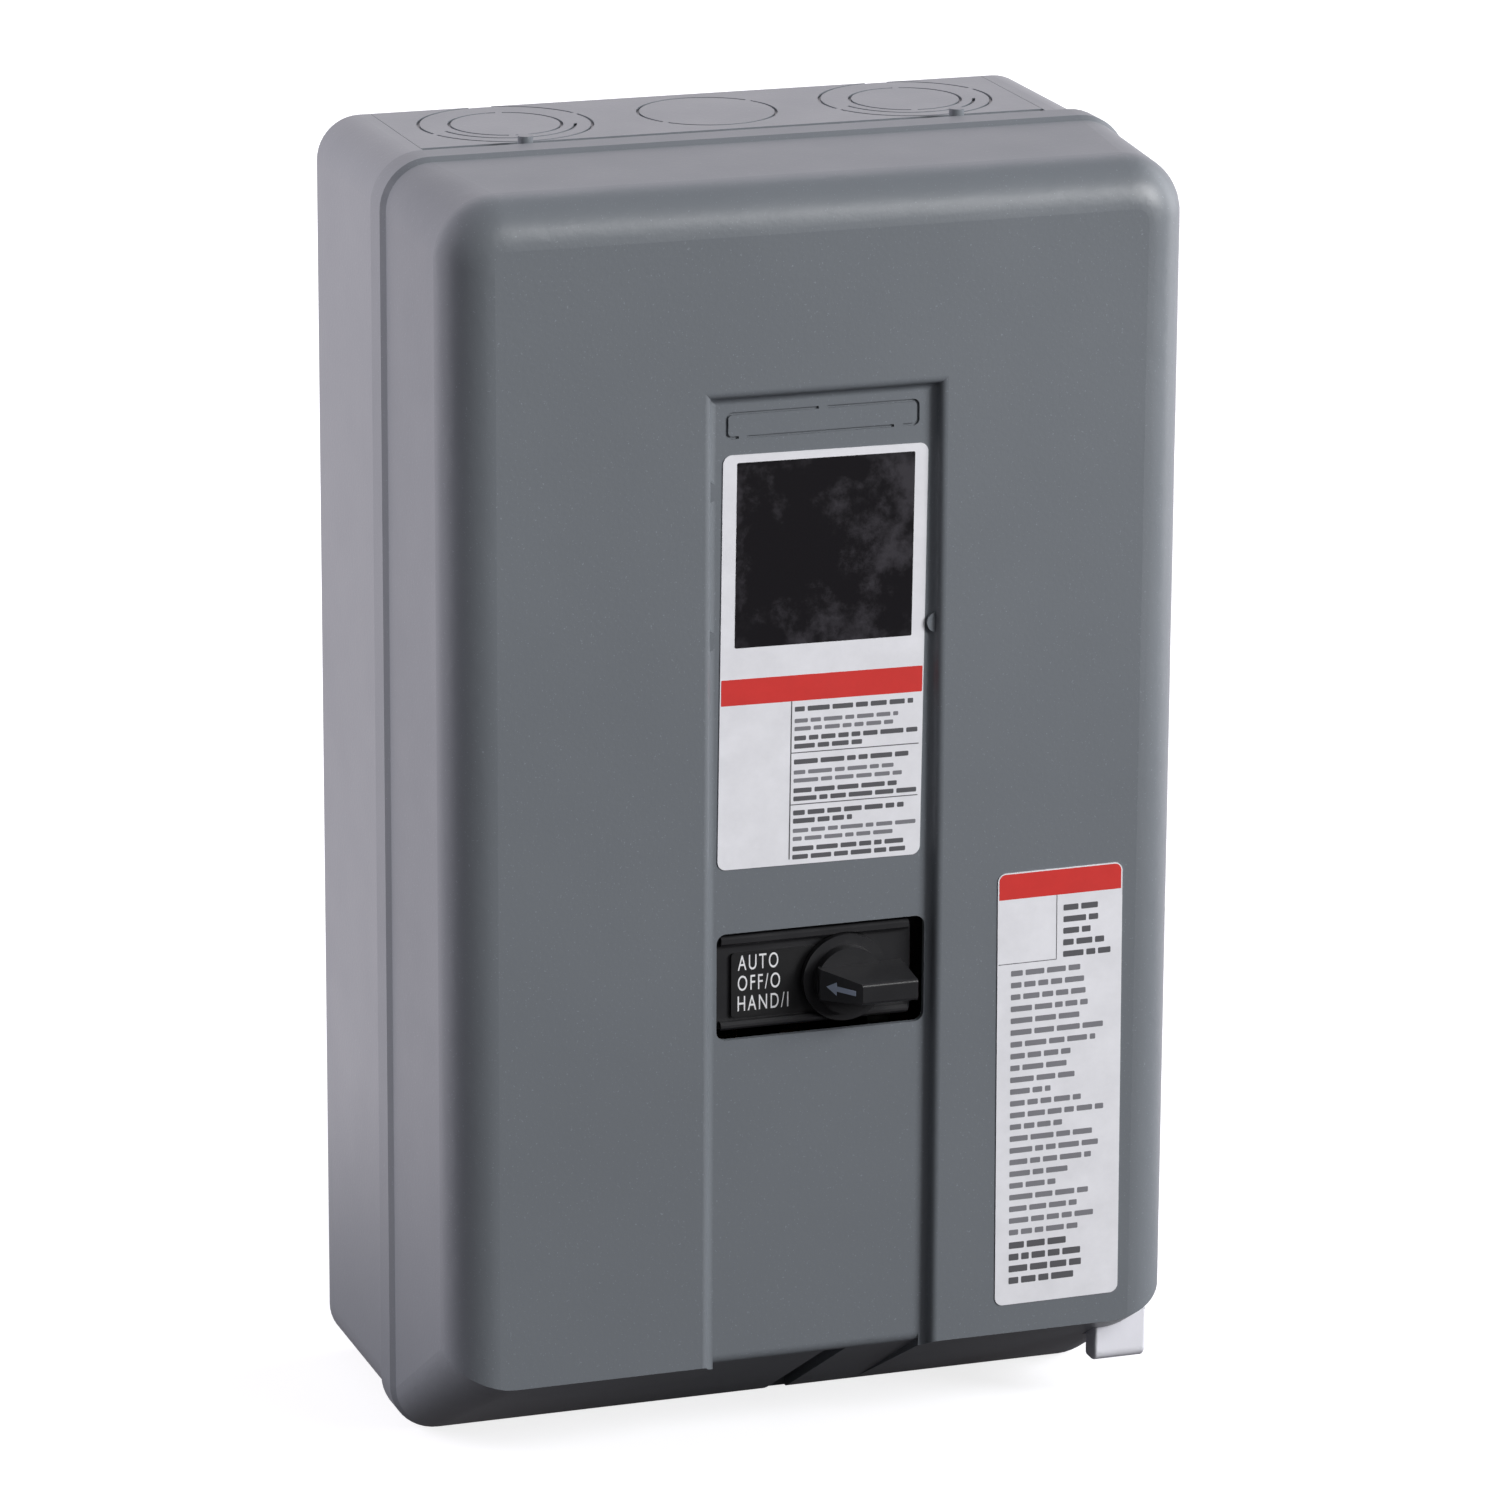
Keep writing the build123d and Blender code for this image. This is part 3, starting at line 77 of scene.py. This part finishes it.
# ---------------------------------------------------------------- node helpers
class Shader:
    """A node material with a Principled surface and object coordinates."""

    def __init__(self, name):
        self.material = bpy.data.materials.new(name)
        self.material.use_nodes = True
        self.tree = self.material.node_tree
        self.surface = self.tree.nodes["Principled BSDF"]
        self.place = self.add("ShaderNodeTexCoord").outputs["Object"]

    def add(self, kind, **values):
        """A node of this kind; values set its properties, or its inputs where the name is an input's."""
        node = self.tree.nodes.new(kind)
        for key, value in values.items():
            if key in node.inputs:
                node.inputs[key].default_value = value
            else:
                setattr(node, key, value)
        return node

    def link(self, source, target):
        self.tree.links.new(source, target)

    def noise(self, scale, detail=3.0, roughness=0.5, stretch=None):
        """Noise over the object, scale in features per metre; stretch makes it finer along an axis."""
        node = self.add("ShaderNodeTexNoise", Scale=scale, Detail=detail, Roughness=roughness)
        source = self.place
        if stretch:
            mapping = self.add("ShaderNodeMapping", Scale=stretch)
            self.link(self.place, mapping.inputs["Vector"])
            source = mapping.outputs["Vector"]
        self.link(source, node.inputs["Vector"])
        return node.outputs["Fac"]

    def bands(self, direction, scale, distortion):
        """Bands that follow each other along one axis."""
        node = self.add(
            "ShaderNodeTexWave",
            wave_type="BANDS",
            bands_direction=direction,
            Scale=scale,
            Distortion=distortion,
        )
        self.link(self.place, node.inputs["Vector"])
        return node.outputs["Fac"]

    def ramp(self, value, *stops):
        """Colour ramp over value; each stop is (position, colour)."""
        node = self.add("ShaderNodeValToRGB")
        ramp = node.color_ramp
        while len(ramp.elements) < len(stops):
            ramp.elements.new(0.5)
        for element, (position, colour) in zip(ramp.elements, stops):
            element.position = position
            element.color = (*colour, 1.0)
        self.link(value, node.inputs["Fac"])
        return node.outputs["Color"]

    def span(self, value, low, high):
        """Maps a value from 0 to 1 onto low to high."""
        return self.reach(value, 0.0, 1.0, low, high)

    def reach(self, value, first, last, low, high):
        """Maps values from first to last onto low to high, and holds the ends."""
        node = self.add("ShaderNodeMapRange")
        for key, number in (("From Min", first), ("From Max", last), ("To Min", low), ("To Max", high)):
            node.inputs[key].default_value = number
        self.link(value, node.inputs["Value"])
        return node.outputs["Result"]

    def mix(self, factor, first, second):
        """Blend by factor of a colour output and a fixed colour."""
        node = self.add("ShaderNodeMix", data_type="RGBA")
        self.link(factor, node.inputs["Factor"])
        self.link(first, node.inputs["A"])
        node.inputs["B"].default_value = (*second, 1.0)
        return node.outputs["Result"]

    def bump(self, height, strength, distance, normal=None):
        """Normal for a height of at most distance metres, laid over an earlier normal if there is one."""
        node = self.add("ShaderNodeBump", Strength=strength, Distance=distance)
        self.link(height, node.inputs["Height"])
        if normal:
            self.link(normal, node.inputs["Normal"])
        return node.outputs["Normal"]

    def finish(self, colour, roughness, normal, **constants):
        """Links the three outputs to the surface, sets its constants and gives the material."""
        self.link(colour, self.surface.inputs["Base Color"])
        self.link(roughness, self.surface.inputs["Roughness"])
        self.link(normal, self.surface.inputs["Normal"])
        for name, value in constants.items():
            self.surface.inputs[name.replace("_", " ")].default_value = value
        return self.material


BLACK = (0.0, 0.0, 0.0)
WHITE = (1.0, 1.0, 1.0)


def shade(colour, factor):
    """The colour made lighter or darker by factor."""
    return tuple(min(1.0, c * factor) for c in colour)


# ---------------------------------------------------------------- materials
def enamel(name, colour, rough=0.36):
    """Sprayed semi-gloss enamel: orange peel, pale dust specks and the slight waves of drawn sheet."""
    look = Shader(name)
    clouds = look.noise(9.0, 4.0)
    dust = look.noise(1900.0, 2.0, 0.6)
    sheet_waves = look.noise(13.0, 1.0)
    orange_peel = look.noise(900.0, 2.0)
    fine_grain = look.noise(5200.0, 1.0)
    handling = look.noise(60.0)
    tone = look.ramp(clouds, (0.3, shade(colour, 0.96)), (0.7, shade(colour, 1.04)))
    specks = look.ramp(dust, (0.66, BLACK), (0.74, WHITE))
    tone = look.mix(look.span(specks, 0.0, 0.30), tone, shade(colour, 2.6))
    normal = look.bump(sheet_waves, 0.35, 0.002)
    normal = look.bump(orange_peel, 0.05, 0.0006, normal)
    normal = look.bump(fine_grain, 0.05, 0.0001, normal)
    return look.finish(tone, look.span(handling, rough - 0.04, rough + 0.04), normal)


def moulding(name, colour, rough=0.5, grain=2600.0, depth=0.12):
    """Moulded plastic with a fine spark-eroded grain."""
    look = Shader(name)
    clouds = look.noise(35.0, 4.0)
    handling = look.noise(140.0)
    tone = look.ramp(clouds, (0.3, shade(colour, 0.86)), (0.75, shade(colour, 1.14)))
    normal = look.bump(look.noise(grain, 2.0), depth, 0.0002)
    return look.finish(tone, look.span(handling, rough - 0.06, rough + 0.08), normal)


def metal(name, colour, rough=0.3, grain=(1.0, 1.0, 1.0)):
    """Plated or drawn metal with a fine grain, finer along an axis where grain is over 1."""
    look = Shader(name)
    clouds = look.noise(70.0, 5.0)
    lines = look.noise(1500.0, 3.0, stretch=grain)
    tone = look.ramp(clouds, (0.25, shade(colour, 0.8)), (0.75, shade(colour, 1.12)))
    roughness = look.span(lines, rough - 0.08, rough + 0.12)
    return look.finish(tone, roughness, look.bump(lines, 0.08, 0.0001), Metallic=1.0)


def laminations(name):
    """Stack of punched steel sheets, seen as fine lines across the core."""
    look = Shader(name)
    sheets = look.bands("X", 500.0, 0.4)
    tone = look.ramp(sheets, (0.2, (0.10, 0.10, 0.11)), (0.6, (0.42, 0.42, 0.43)))
    roughness = look.span(look.noise(300.0), 0.3, 0.5)
    return look.finish(tone, roughness, look.bump(sheets, 0.4, 0.0002), Metallic=1.0)


def taped_coil(name):
    """Varnished tape wound over the coil."""
    look = Shader(name)
    turns = look.bands("Y", 220.0, 1.2)
    tone = look.ramp(turns, (0.1, (0.32, 0.17, 0.04)), (0.9, (0.55, 0.33, 0.08)))
    return look.finish(tone, look.span(look.noise(200.0), 0.35, 0.55), look.bump(turns, 0.5, 0.0004))


def printed(name, colour):
    """Ink on a film label, with faint mottling and handling marks."""
    look = Shader(name)
    rough = 0.42
    mottle = look.noise(120.0, 6.0, 0.65)
    handling = look.noise(45.0, 5.0)
    film = look.noise(700.0)
    tone = look.ramp(mottle, (0.35, shade(colour, 0.94)), (0.7, shade(colour, 1.03)))
    roughness = look.span(handling, rough - 0.08, rough + 0.1)
    return look.finish(tone, roughness, look.bump(film, 0.04, 0.0002))


def scuffed_black(name):
    """Glossy black print with worn, duller patches."""
    look = Shader(name)
    patches = look.noise(42.0, 9.0, 0.68)
    tone = look.ramp(patches, (0.5, (0.008, 0.007, 0.009)), (0.6, (0.022, 0.019, 0.026)))
    gloss = look.ramp(patches, (0.48, (0.28,) * 3), (0.62, (0.55,) * 3))
    return look.finish(tone, gloss, look.bump(patches, 0.1, 0.0002))


GREY = (0.148, 0.162, 0.180)
finish = {
    "grey_paint": enamel("grey_enamel", GREY),
    "zinc_steel": metal("zinc_steel", (0.62, 0.61, 0.58), 0.34),
    "black_moulding": moulding("black_moulding", (0.020, 0.020, 0.022), 0.36),
    "lamination_steel": laminations("lamination_steel"),
    "bobbin_nylon": moulding("bobbin_nylon", (0.66, 0.60, 0.44), 0.45),
    "coil_tape": taped_coil("coil_tape"),
    "copper": metal("copper_strip", (0.78, 0.45, 0.27), 0.26, (1, 1, 8)),
    "heater_brass": metal("heater_brass", (0.72, 0.56, 0.25), 0.3),
    "white_nylon": moulding("white_nylon", (0.80, 0.80, 0.86), 0.42, 1800.0, 0.06),
    "red_nylon": moulding("red_nylon", (0.45, 0.02, 0.02), 0.42),
    "spring_steel": metal("spring_steel", (0.60, 0.60, 0.60), 0.22),
    "label_white": printed("label_white", (0.76, 0.76, 0.80)),
    "legend_black": moulding("legend_black", (0.012, 0.012, 0.013), 0.40),
    "arrow_pale": moulding("arrow_pale", (0.52, 0.60, 0.76), 0.5),
    "lug_aluminium": metal("lug_aluminium", (0.72, 0.72, 0.73), 0.35),
    "green_paint": enamel("green_enamel", (0.02, 0.22, 0.06), 0.3),
}
slot_of = {entry["node"]: entry["material_slot"] for entry in frame["record"]["subparts"]}
plate_enamel = enamel("plate_enamel", shade(GREY, 1.06), 0.35)
drawn_enamel = enamel("drawn_enamel", GREY, 0.42)
own_finish = {
    "housing": plate_enamel,
    "top_end_plate": plate_enamel,
    "bottom_end_plate": plate_enamel,
    "cover": drawn_enamel,
}
for name, node in nodes.items():
    node.data.materials.clear()
    node.data.materials.append(own_finish.get(name, finish[slot_of[name]]))


# ---------------------------------------------------------------- printed pieces
# Lengths on the labels are in millimetres, from the middle of the label's face: x to the right, z up.
INK_HALF = 0.03
CORNER_STEPS = 4
CORNER_FIT = 2.01  # a side divided by this is its largest corner radius, so that two corners don't meet
WORD_SHORT = 2.0
WORD_LONG = 6.4
WORD_LEAST = 1.2
WORD_GAP = 0.75
RED = (0.62, 0.035, 0.03)
TEXT_GREY = (0.10, 0.10, 0.11)
black_print = scuffed_black("black_print")
red_print = printed("red_print", RED)
grey_print = printed("grey_print", TEXT_GREY)
fine_print = printed("fine_print", shade(TEXT_GREY, 2.0))
white_print = printed("white_print", (0.78, 0.78, 0.80))


def into_scene(name, mesh, material, body):
    """A piece that rides on a body and takes the finish it is given."""
    mesh.materials.clear()
    mesh.materials.append(material)
    piece = bpy.data.objects.new(name, mesh)
    bpy.context.scene.collection.objects.link(piece)
    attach(piece, body)
    return piece


def label_frame(node, tilt):
    """Places millimetre coordinates from the middle of a tilted label onto its front face."""
    low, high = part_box(node)
    middle = Vector(((low[0] + high[0]) / 2, low[1], (low[2] + high[2]) / 2))
    return Matrix.Translation(middle) @ Matrix.Rotation(math.radians(-tilt), 4, "Y") @ Matrix.Scale(MM, 4)


def rounded(area, radius, foot_radius):
    """Outline of an upright rectangle; its two lower corners may have a radius of their own."""
    x0, x1, z0, z1 = area
    head = min(radius, (x1 - x0) / CORNER_FIT, (z1 - z0) / CORNER_FIT)
    foot = foot_radius or head
    corners = (
        (x1 - head, z1 - head, head, 0),
        (x0 + head, z1 - head, head, 90),
        (x0 + foot, z0 + foot, foot, 180),
        (x1 - foot, z0 + foot, foot, 270),
    )
    outline = []
    for x, z, bend, start in corners:
        for k in range(CORNER_STEPS + 1):
            angle = math.radians(start + 90.0 * k / CORNER_STEPS)
            outline.append((x + bend * math.cos(angle), z + bend * math.sin(angle)))
    return outline


def ink(name, areas, place, material, radius=0.25, foot_radius=None):
    """Thin rounded patches of ink on a cover label; each area is (x0, x1, z0, z1)."""
    mesh = bpy.data.meshes.new(name)
    work = bmesh.new()
    for area in areas:
        outline = rounded(area, radius, foot_radius)
        front = [work.verts.new((x, -INK_HALF, z)) for x, z in outline]
        back = [work.verts.new((x, INK_HALF, z)) for x, z in outline]
        work.faces.new(front)
        work.faces.new(list(reversed(back)))
        for k in range(len(outline)):
            n = (k + 1) % len(outline)
            work.faces.new((front[n], front[k], back[k], back[n]))
    work.transform(place)
    bmesh.ops.recalc_face_normals(work, faces=work.faces)
    work.to_mesh(mesh)
    work.free()
    return into_scene(name, mesh, material, "cover")


def text_rows(seed, ends, top, pitch, height, widths):
    """Bars that stand for words, in rows whose lengths are the given shares of the width."""
    draw = random.Random(seed)
    left, right = ends
    bars = []
    for row, share in enumerate(widths):
        z1 = top - row * pitch
        x = left
        end = left + (right - left) * share
        while end - x > WORD_LEAST:
            length = min(draw.uniform(WORD_SHORT, WORD_LONG), end - x)
            bars.append((x, x + length, z1 - height, z1))
            x += length + WORD_GAP
    return bars


def text_piece(name, paragraphs, place, material):
    """One piece of bars; each paragraph holds what text_rows takes."""
    bars = []
    for paragraph in paragraphs:
        bars += text_rows(*paragraph)
    return ink(name, bars, place, material)


def shortening_springs():
    """Copies of the springs in spring steel, each riding on its body, in place of the rigid ones."""
    behaviour = frame["record"]["behaviour"]
    body_of = {node: body for body, held in behaviour["bodies"].items() for node in held}
    for joint in behaviour["joints"]:
        for entry in joint.get("deforming_nodes", []):
            name = entry["node"]
            letter = entry["mode"][-1]
            along = "xyz".index(letter)
            low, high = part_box(name)
            axis, anchor = [0.0, 0.0, 0.0], [(a + b) / 2 for a, b in zip(low, high)]
            axis[along] = 1.0
            anchor[along] = entry[f"fixed_end_{letter}_m"]
            mesh = nodes[name].data.copy()
            piece = into_scene(f"{name}_wire", mesh, finish["spring_steel"], body_of[name])
            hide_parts(name)
            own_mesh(piece)


shortening_springs()

def main_print():
    """Black square, red band, divider lines and rows of the main label."""
    place = label_frame("main_label", -0.6)
    band_low, band_high = -10.6, -4.0
    foot = -51.2
    divider = -8.0
    lines_end = 25.6
    rule = 0.25
    ink("main_label_black", [(-22.9, 23.1, 3.9, 50.6)], place, black_print, 0.4)
    ink("main_label_red", [(-26.2, 26.2, band_low, band_high)], place, red_print)
    lines = [(divider, divider + 0.3, foot, band_low)]
    lines += [(divider, lines_end, low, low + rule) for low in (-24.0, -37.3)]
    ink("main_label_dividers", lines, place, grey_print, 0.1)
    wide = (-7.0, 25.2)
    bold = [
        (1, wide, -12.1, 2.3, 1.25, [0.96]),
        (4, wide, -19.6, 2.05, 1.2, [1.0, 0.55]),
        (2, wide, -25.6, 2.3, 1.25, [0.93]),
        (5, wide, -33.0, 2.1, 1.2, [0.84, 1.0]),
        (3, wide, -38.7, 2.1, 1.25, [0.90, 0.48]),
        (6, wide, -48.0, 2.1, 1.2, [0.94, 0.92]),
    ]
    fine = [
        (7, wide, -15.2, 2.05, 1.05, [0.84, 0.80]),
        (8, wide, -28.4, 2.1, 1.05, [0.86, 0.88]),
        (9, wide, -43.4, 2.1, 1.05, [1.0, 0.86]),
    ]
    text_piece("main_label_bold_rows", bold, place, grey_print)
    text_piece("main_label_fine_rows", fine, place, fine_print)


def side_print():
    """Red band, divider lines and rows of the narrow label at the side."""
    place = label_frame("side_label", 0.4)
    band_low, band_high = 50.4, 57.0
    divider = -0.8
    rule = 0.2
    rule_top = 33.6
    ink("side_label_red", [(-16.3, 16.3, band_low, band_high)], place, red_print, 1.7, 0.1)
    lines = [
        (divider - rule, divider, rule_top, band_low),
        (-16.4, divider, rule_top - rule, rule_top),
    ]
    ink("side_label_dividers", lines, place, grey_print, 0.1)
    wide = (-13.0, 13.5)
    bold = [
        (11, (0.9, 15.0), 47.6, 3.05, 1.55, [0.78, 0.66, 0.52, 0.78, 1.0]),
        (12, wide, -40.6, 3.15, 1.75, [0.65, 0.73, 0.74, 0.68]),
    ]
    shares = [0.70, 0.74, 0.82, 0.78, 0.76, 0.94, 0.86, 0.61, 0.63, 0.70, 0.41, 0.72, 0.95, 0.6, 0.90]
    shares += [0.90, 0.83, 0.66, 0.47, 0.82, 0.69, 0.92, 0.70]
    text_piece("side_label_bold_rows", bold, place, grey_print)
    text_piece("side_label_fine_rows", [(13, wide, 31.6, 3.13, 1.45, shares)], place, fine_print)


main_print()
side_print()


def legend_word(name, words, left, base, height, width_share):
    """Raised word on the legend plate; its cap height and lower left corner are in millimetres."""
    half_relief = 0.01
    relief_gain = 2
    curve = bpy.data.curves.new(name, "FONT")
    curve.body = words
    curve.extrude = half_relief
    curve.resolution_u = 6
    curve.space_character = 1.25
    holder = bpy.data.objects.new(name, curve)
    mesh = bpy.data.meshes.new_from_object(holder)
    bpy.data.objects.remove(holder)
    tall = max(v.co.y for v in mesh.vertices)
    first = min(v.co.x for v in mesh.vertices)
    scale = height / tall
    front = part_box("legend_plate")[0][1]
    for vertex in mesh.vertices:
        x, z, out = vertex.co
        x = left + (x - first) * scale * width_share
        vertex.co = (x * MM, front - (out + half_relief) * MM * relief_gain, (base + z * scale) * MM)
    work = bmesh.new()
    work.from_mesh(mesh)
    bmesh.ops.recalc_face_normals(work, faces=work.faces)
    work.to_mesh(mesh)
    work.free()
    return into_scene(name, mesh, white_print, "case")


def legend():
    """The three position words, from the bottom of the plate up."""
    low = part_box("legend_plate")[0]
    left = low[0] / MM + 1.7
    base = low[2] / MM
    foot, pitch, cap, narrow = 1.5, 5.3, 3.9, 0.60
    for row, words in enumerate(("HAND/I", "OFF/O", "AUTO")):
        legend_word(f"legend_word_{row + 1}", words, left, base + foot + pitch * row, cap, narrow)


legend()


# ---------------------------------------------------------------- studio and camera
def camera(place, yaw, pitch, roll, lens):
    """Camera at place, turned yaw degrees from +Y towards +X, pitched down, then rolled."""
    yaw, pitch, roll = (math.radians(v) for v in (yaw, pitch, roll))
    ahead = Vector((math.sin(yaw) * math.cos(pitch), math.cos(yaw) * math.cos(pitch), -math.sin(pitch)))
    right = Vector((math.cos(yaw), -math.sin(yaw), 0.0))
    up = right.cross(ahead)
    turned_right = right * math.cos(roll) + up * math.sin(roll)
    turned_up = up * math.cos(roll) - right * math.sin(roll)
    data = bpy.data.cameras.new("camera")
    data.lens = lens
    data.sensor_width = 36.0
    data.clip_end = 50.0
    holder = bpy.data.objects.new("camera", data)
    axes = Matrix((turned_right, turned_up, -ahead)).transposed()
    holder.matrix_world = Matrix.Translation(place) @ axes.to_4x4()
    bpy.context.scene.collection.objects.link(holder)
    bpy.context.scene.camera = holder


camera(place=Vector((-0.598, -1.8077, 0.5453)), yaw=18.87, pitch=16.26, roll=0.29, lens=182.6)


def area_light(name, place, target, size, power, colour):
    """Rectangular lamp at place, turned to target; power in watts."""
    data = bpy.data.lights.new(name, "AREA")
    data.shape = "RECTANGLE"
    data.size, data.size_y = size
    data.energy = power
    data.color = colour
    lamp = bpy.data.objects.new(name, data)
    lamp.location = place
    lamp.rotation_euler = (Vector(target) - Vector(place)).to_track_quat("-Z", "Y").to_euler()
    bpy.context.scene.collection.objects.link(lamp)
    return lamp


def sweep_mesh():
    """Strip of floor that bends up into a backdrop, just under the object."""
    gap = 0.0003
    floor_z = cad_box[0][2] - gap
    half_width = 6.0
    front_edge = -6.0
    wall_y = 4.0
    wall_rise = 5.0
    bend = 1.5
    steps = 24
    outline = [(front_edge, floor_z), (wall_y - bend, floor_z)]
    for k in range(1, steps + 1):
        angle = math.pi / 2 * k / steps
        outline.append((wall_y - bend + bend * math.sin(angle), floor_z + bend * (1 - math.cos(angle))))
    outline.append((wall_y, floor_z + wall_rise))
    mesh = bpy.data.meshes.new("studio_sweep")
    sweep = bmesh.new()
    rows = [[sweep.verts.new((x, y, z)) for y, z in outline] for x in (-half_width, half_width)]
    for k in range(len(outline) - 1):
        sweep.faces.new((rows[0][k], rows[1][k], rows[1][k + 1], rows[0][k + 1]))
    sweep.to_mesh(mesh)
    sweep.free()
    return mesh


def sweep_finish():
    """The sweep by kind of ray: white to the camera, with a painted shadow dimming it around the object; a
    tinted glow to reflections, with painted shade under and in front of the object; else dim.
    """
    look = Shader("studio_white")
    path = look.add("ShaderNodeLightPath")
    apart = look.add("ShaderNodeVectorMath", operation="LENGTH")
    look.link(look.place, apart.inputs[0])
    across = look.add("ShaderNodeSeparateXYZ")
    look.link(look.place, across.inputs[0])
    distance = apart.outputs["Value"]

    # Camera rays: painted shadow. The glow falls from 1.0 beyond 0.9 m of the origin to 0.78 within 0.25 m,
    # whatever the lamps do.
    seen = look.add("ShaderNodeEmission")
    look.link(look.reach(distance, 0.25, 0.9, 0.78, 1.0), seen.inputs["Strength"])
    pale = look.add("ShaderNodeBsdfDiffuse", Color=(0.40, 0.40, 0.43, 1.0))
    shown = look.add("ShaderNodeAddShader")
    look.link(seen.outputs["Emission"], shown.inputs[0])
    look.link(pale.outputs["BSDF"], shown.inputs[1])

    # Reflections: a painted reflection. The tinted glow reaches 1.15 away from the object, is painted dark
    # (0.03) under it within 0.17 m of the origin, and is darker in front of it, below y = -0.14.
    painted_reflection = look.add("ShaderNodeEmission", Color=(1.0, 0.94, 1.0, 1.0))
    painted_shade_under_object = look.reach(distance, 0.17, 0.30, 0.03, 1.15)
    ahead = look.reach(across.outputs["Y"], -0.14, 0.0, 0.04, 1.0)
    darker = look.add("ShaderNodeMath", operation="MULTIPLY")
    look.link(painted_shade_under_object, darker.inputs[0])
    look.link(ahead, darker.inputs[1])
    look.link(darker.outputs[0], painted_reflection.inputs["Strength"])

    bounce = look.add("ShaderNodeBsdfDiffuse", Color=(0.10, 0.10, 0.11, 1.0))
    surface = bounce.outputs["BSDF"]
    by_ray = (("Is Glossy Ray", painted_reflection), ("Is Transmission Ray", painted_reflection), ("Is Camera Ray", shown))
    for ray, shader in by_ray:
        mix = look.add("ShaderNodeMixShader")
        look.link(path.outputs[ray], mix.inputs["Fac"])
        look.link(surface, mix.inputs[1])
        look.link(shader.outputs[0], mix.inputs[2])
        surface = mix.outputs["Shader"]
    look.link(surface, look.tree.nodes["Material Output"].inputs["Surface"])
    return look.material


def studio():
    """The sweep, as a stage that isn't part of the object."""
    mesh = sweep_mesh()
    mesh.materials.append(sweep_finish())
    backdrop = bpy.data.objects.new("studio_sweep", mesh)
    bpy.context.scene.collection.objects.link(backdrop)


studio()
middle = (0, 0, 0)
lamps = [
    # name, place, aimed at, width and height, watts, colour
    ("left_box", (-2.3, 1.2, 0.75), middle, (2.4, 2.4), 104.0, (1.0, 0.94, 1.0)),
    ("right_box", (2.2, 0.2, 0.8), middle, (1.6, 2.0), 30.0, (0.95, 0.96, 1.0)),
    ("right_card", (0.75, -0.12, 0.1), (0, 0, 0.05), (0.12, 0.5), 0.8, WHITE),
    ("front_box", (2.2, -2.2, 1.2), middle, (1.2, 1.4), 116.0, WHITE),
    ("top_box", (0.0, 1.6, 2.2), middle, (2.4, 1.2), 6.0, (0.94, 0.93, 1.0)),
    ("knob_card", (0.5, -1.4, 1.0), middle, (0.5, 0.3), 5.0, WHITE),
]
boxes = {name: area_light(name, *settings) for name, *settings in lamps}
boxes["left_box"].visible_glossy = False  # reflected, it would glare on the top plate

world = bpy.data.worlds.new("studio")
world.use_nodes = True
background = world.node_tree.nodes["Background"]
background.inputs["Color"].default_value = (*WHITE, 1.0)
background.inputs["Strength"].default_value = 0.10
bpy.context.scene.world = world
bpy.context.scene.view_settings.view_transform = "Standard"
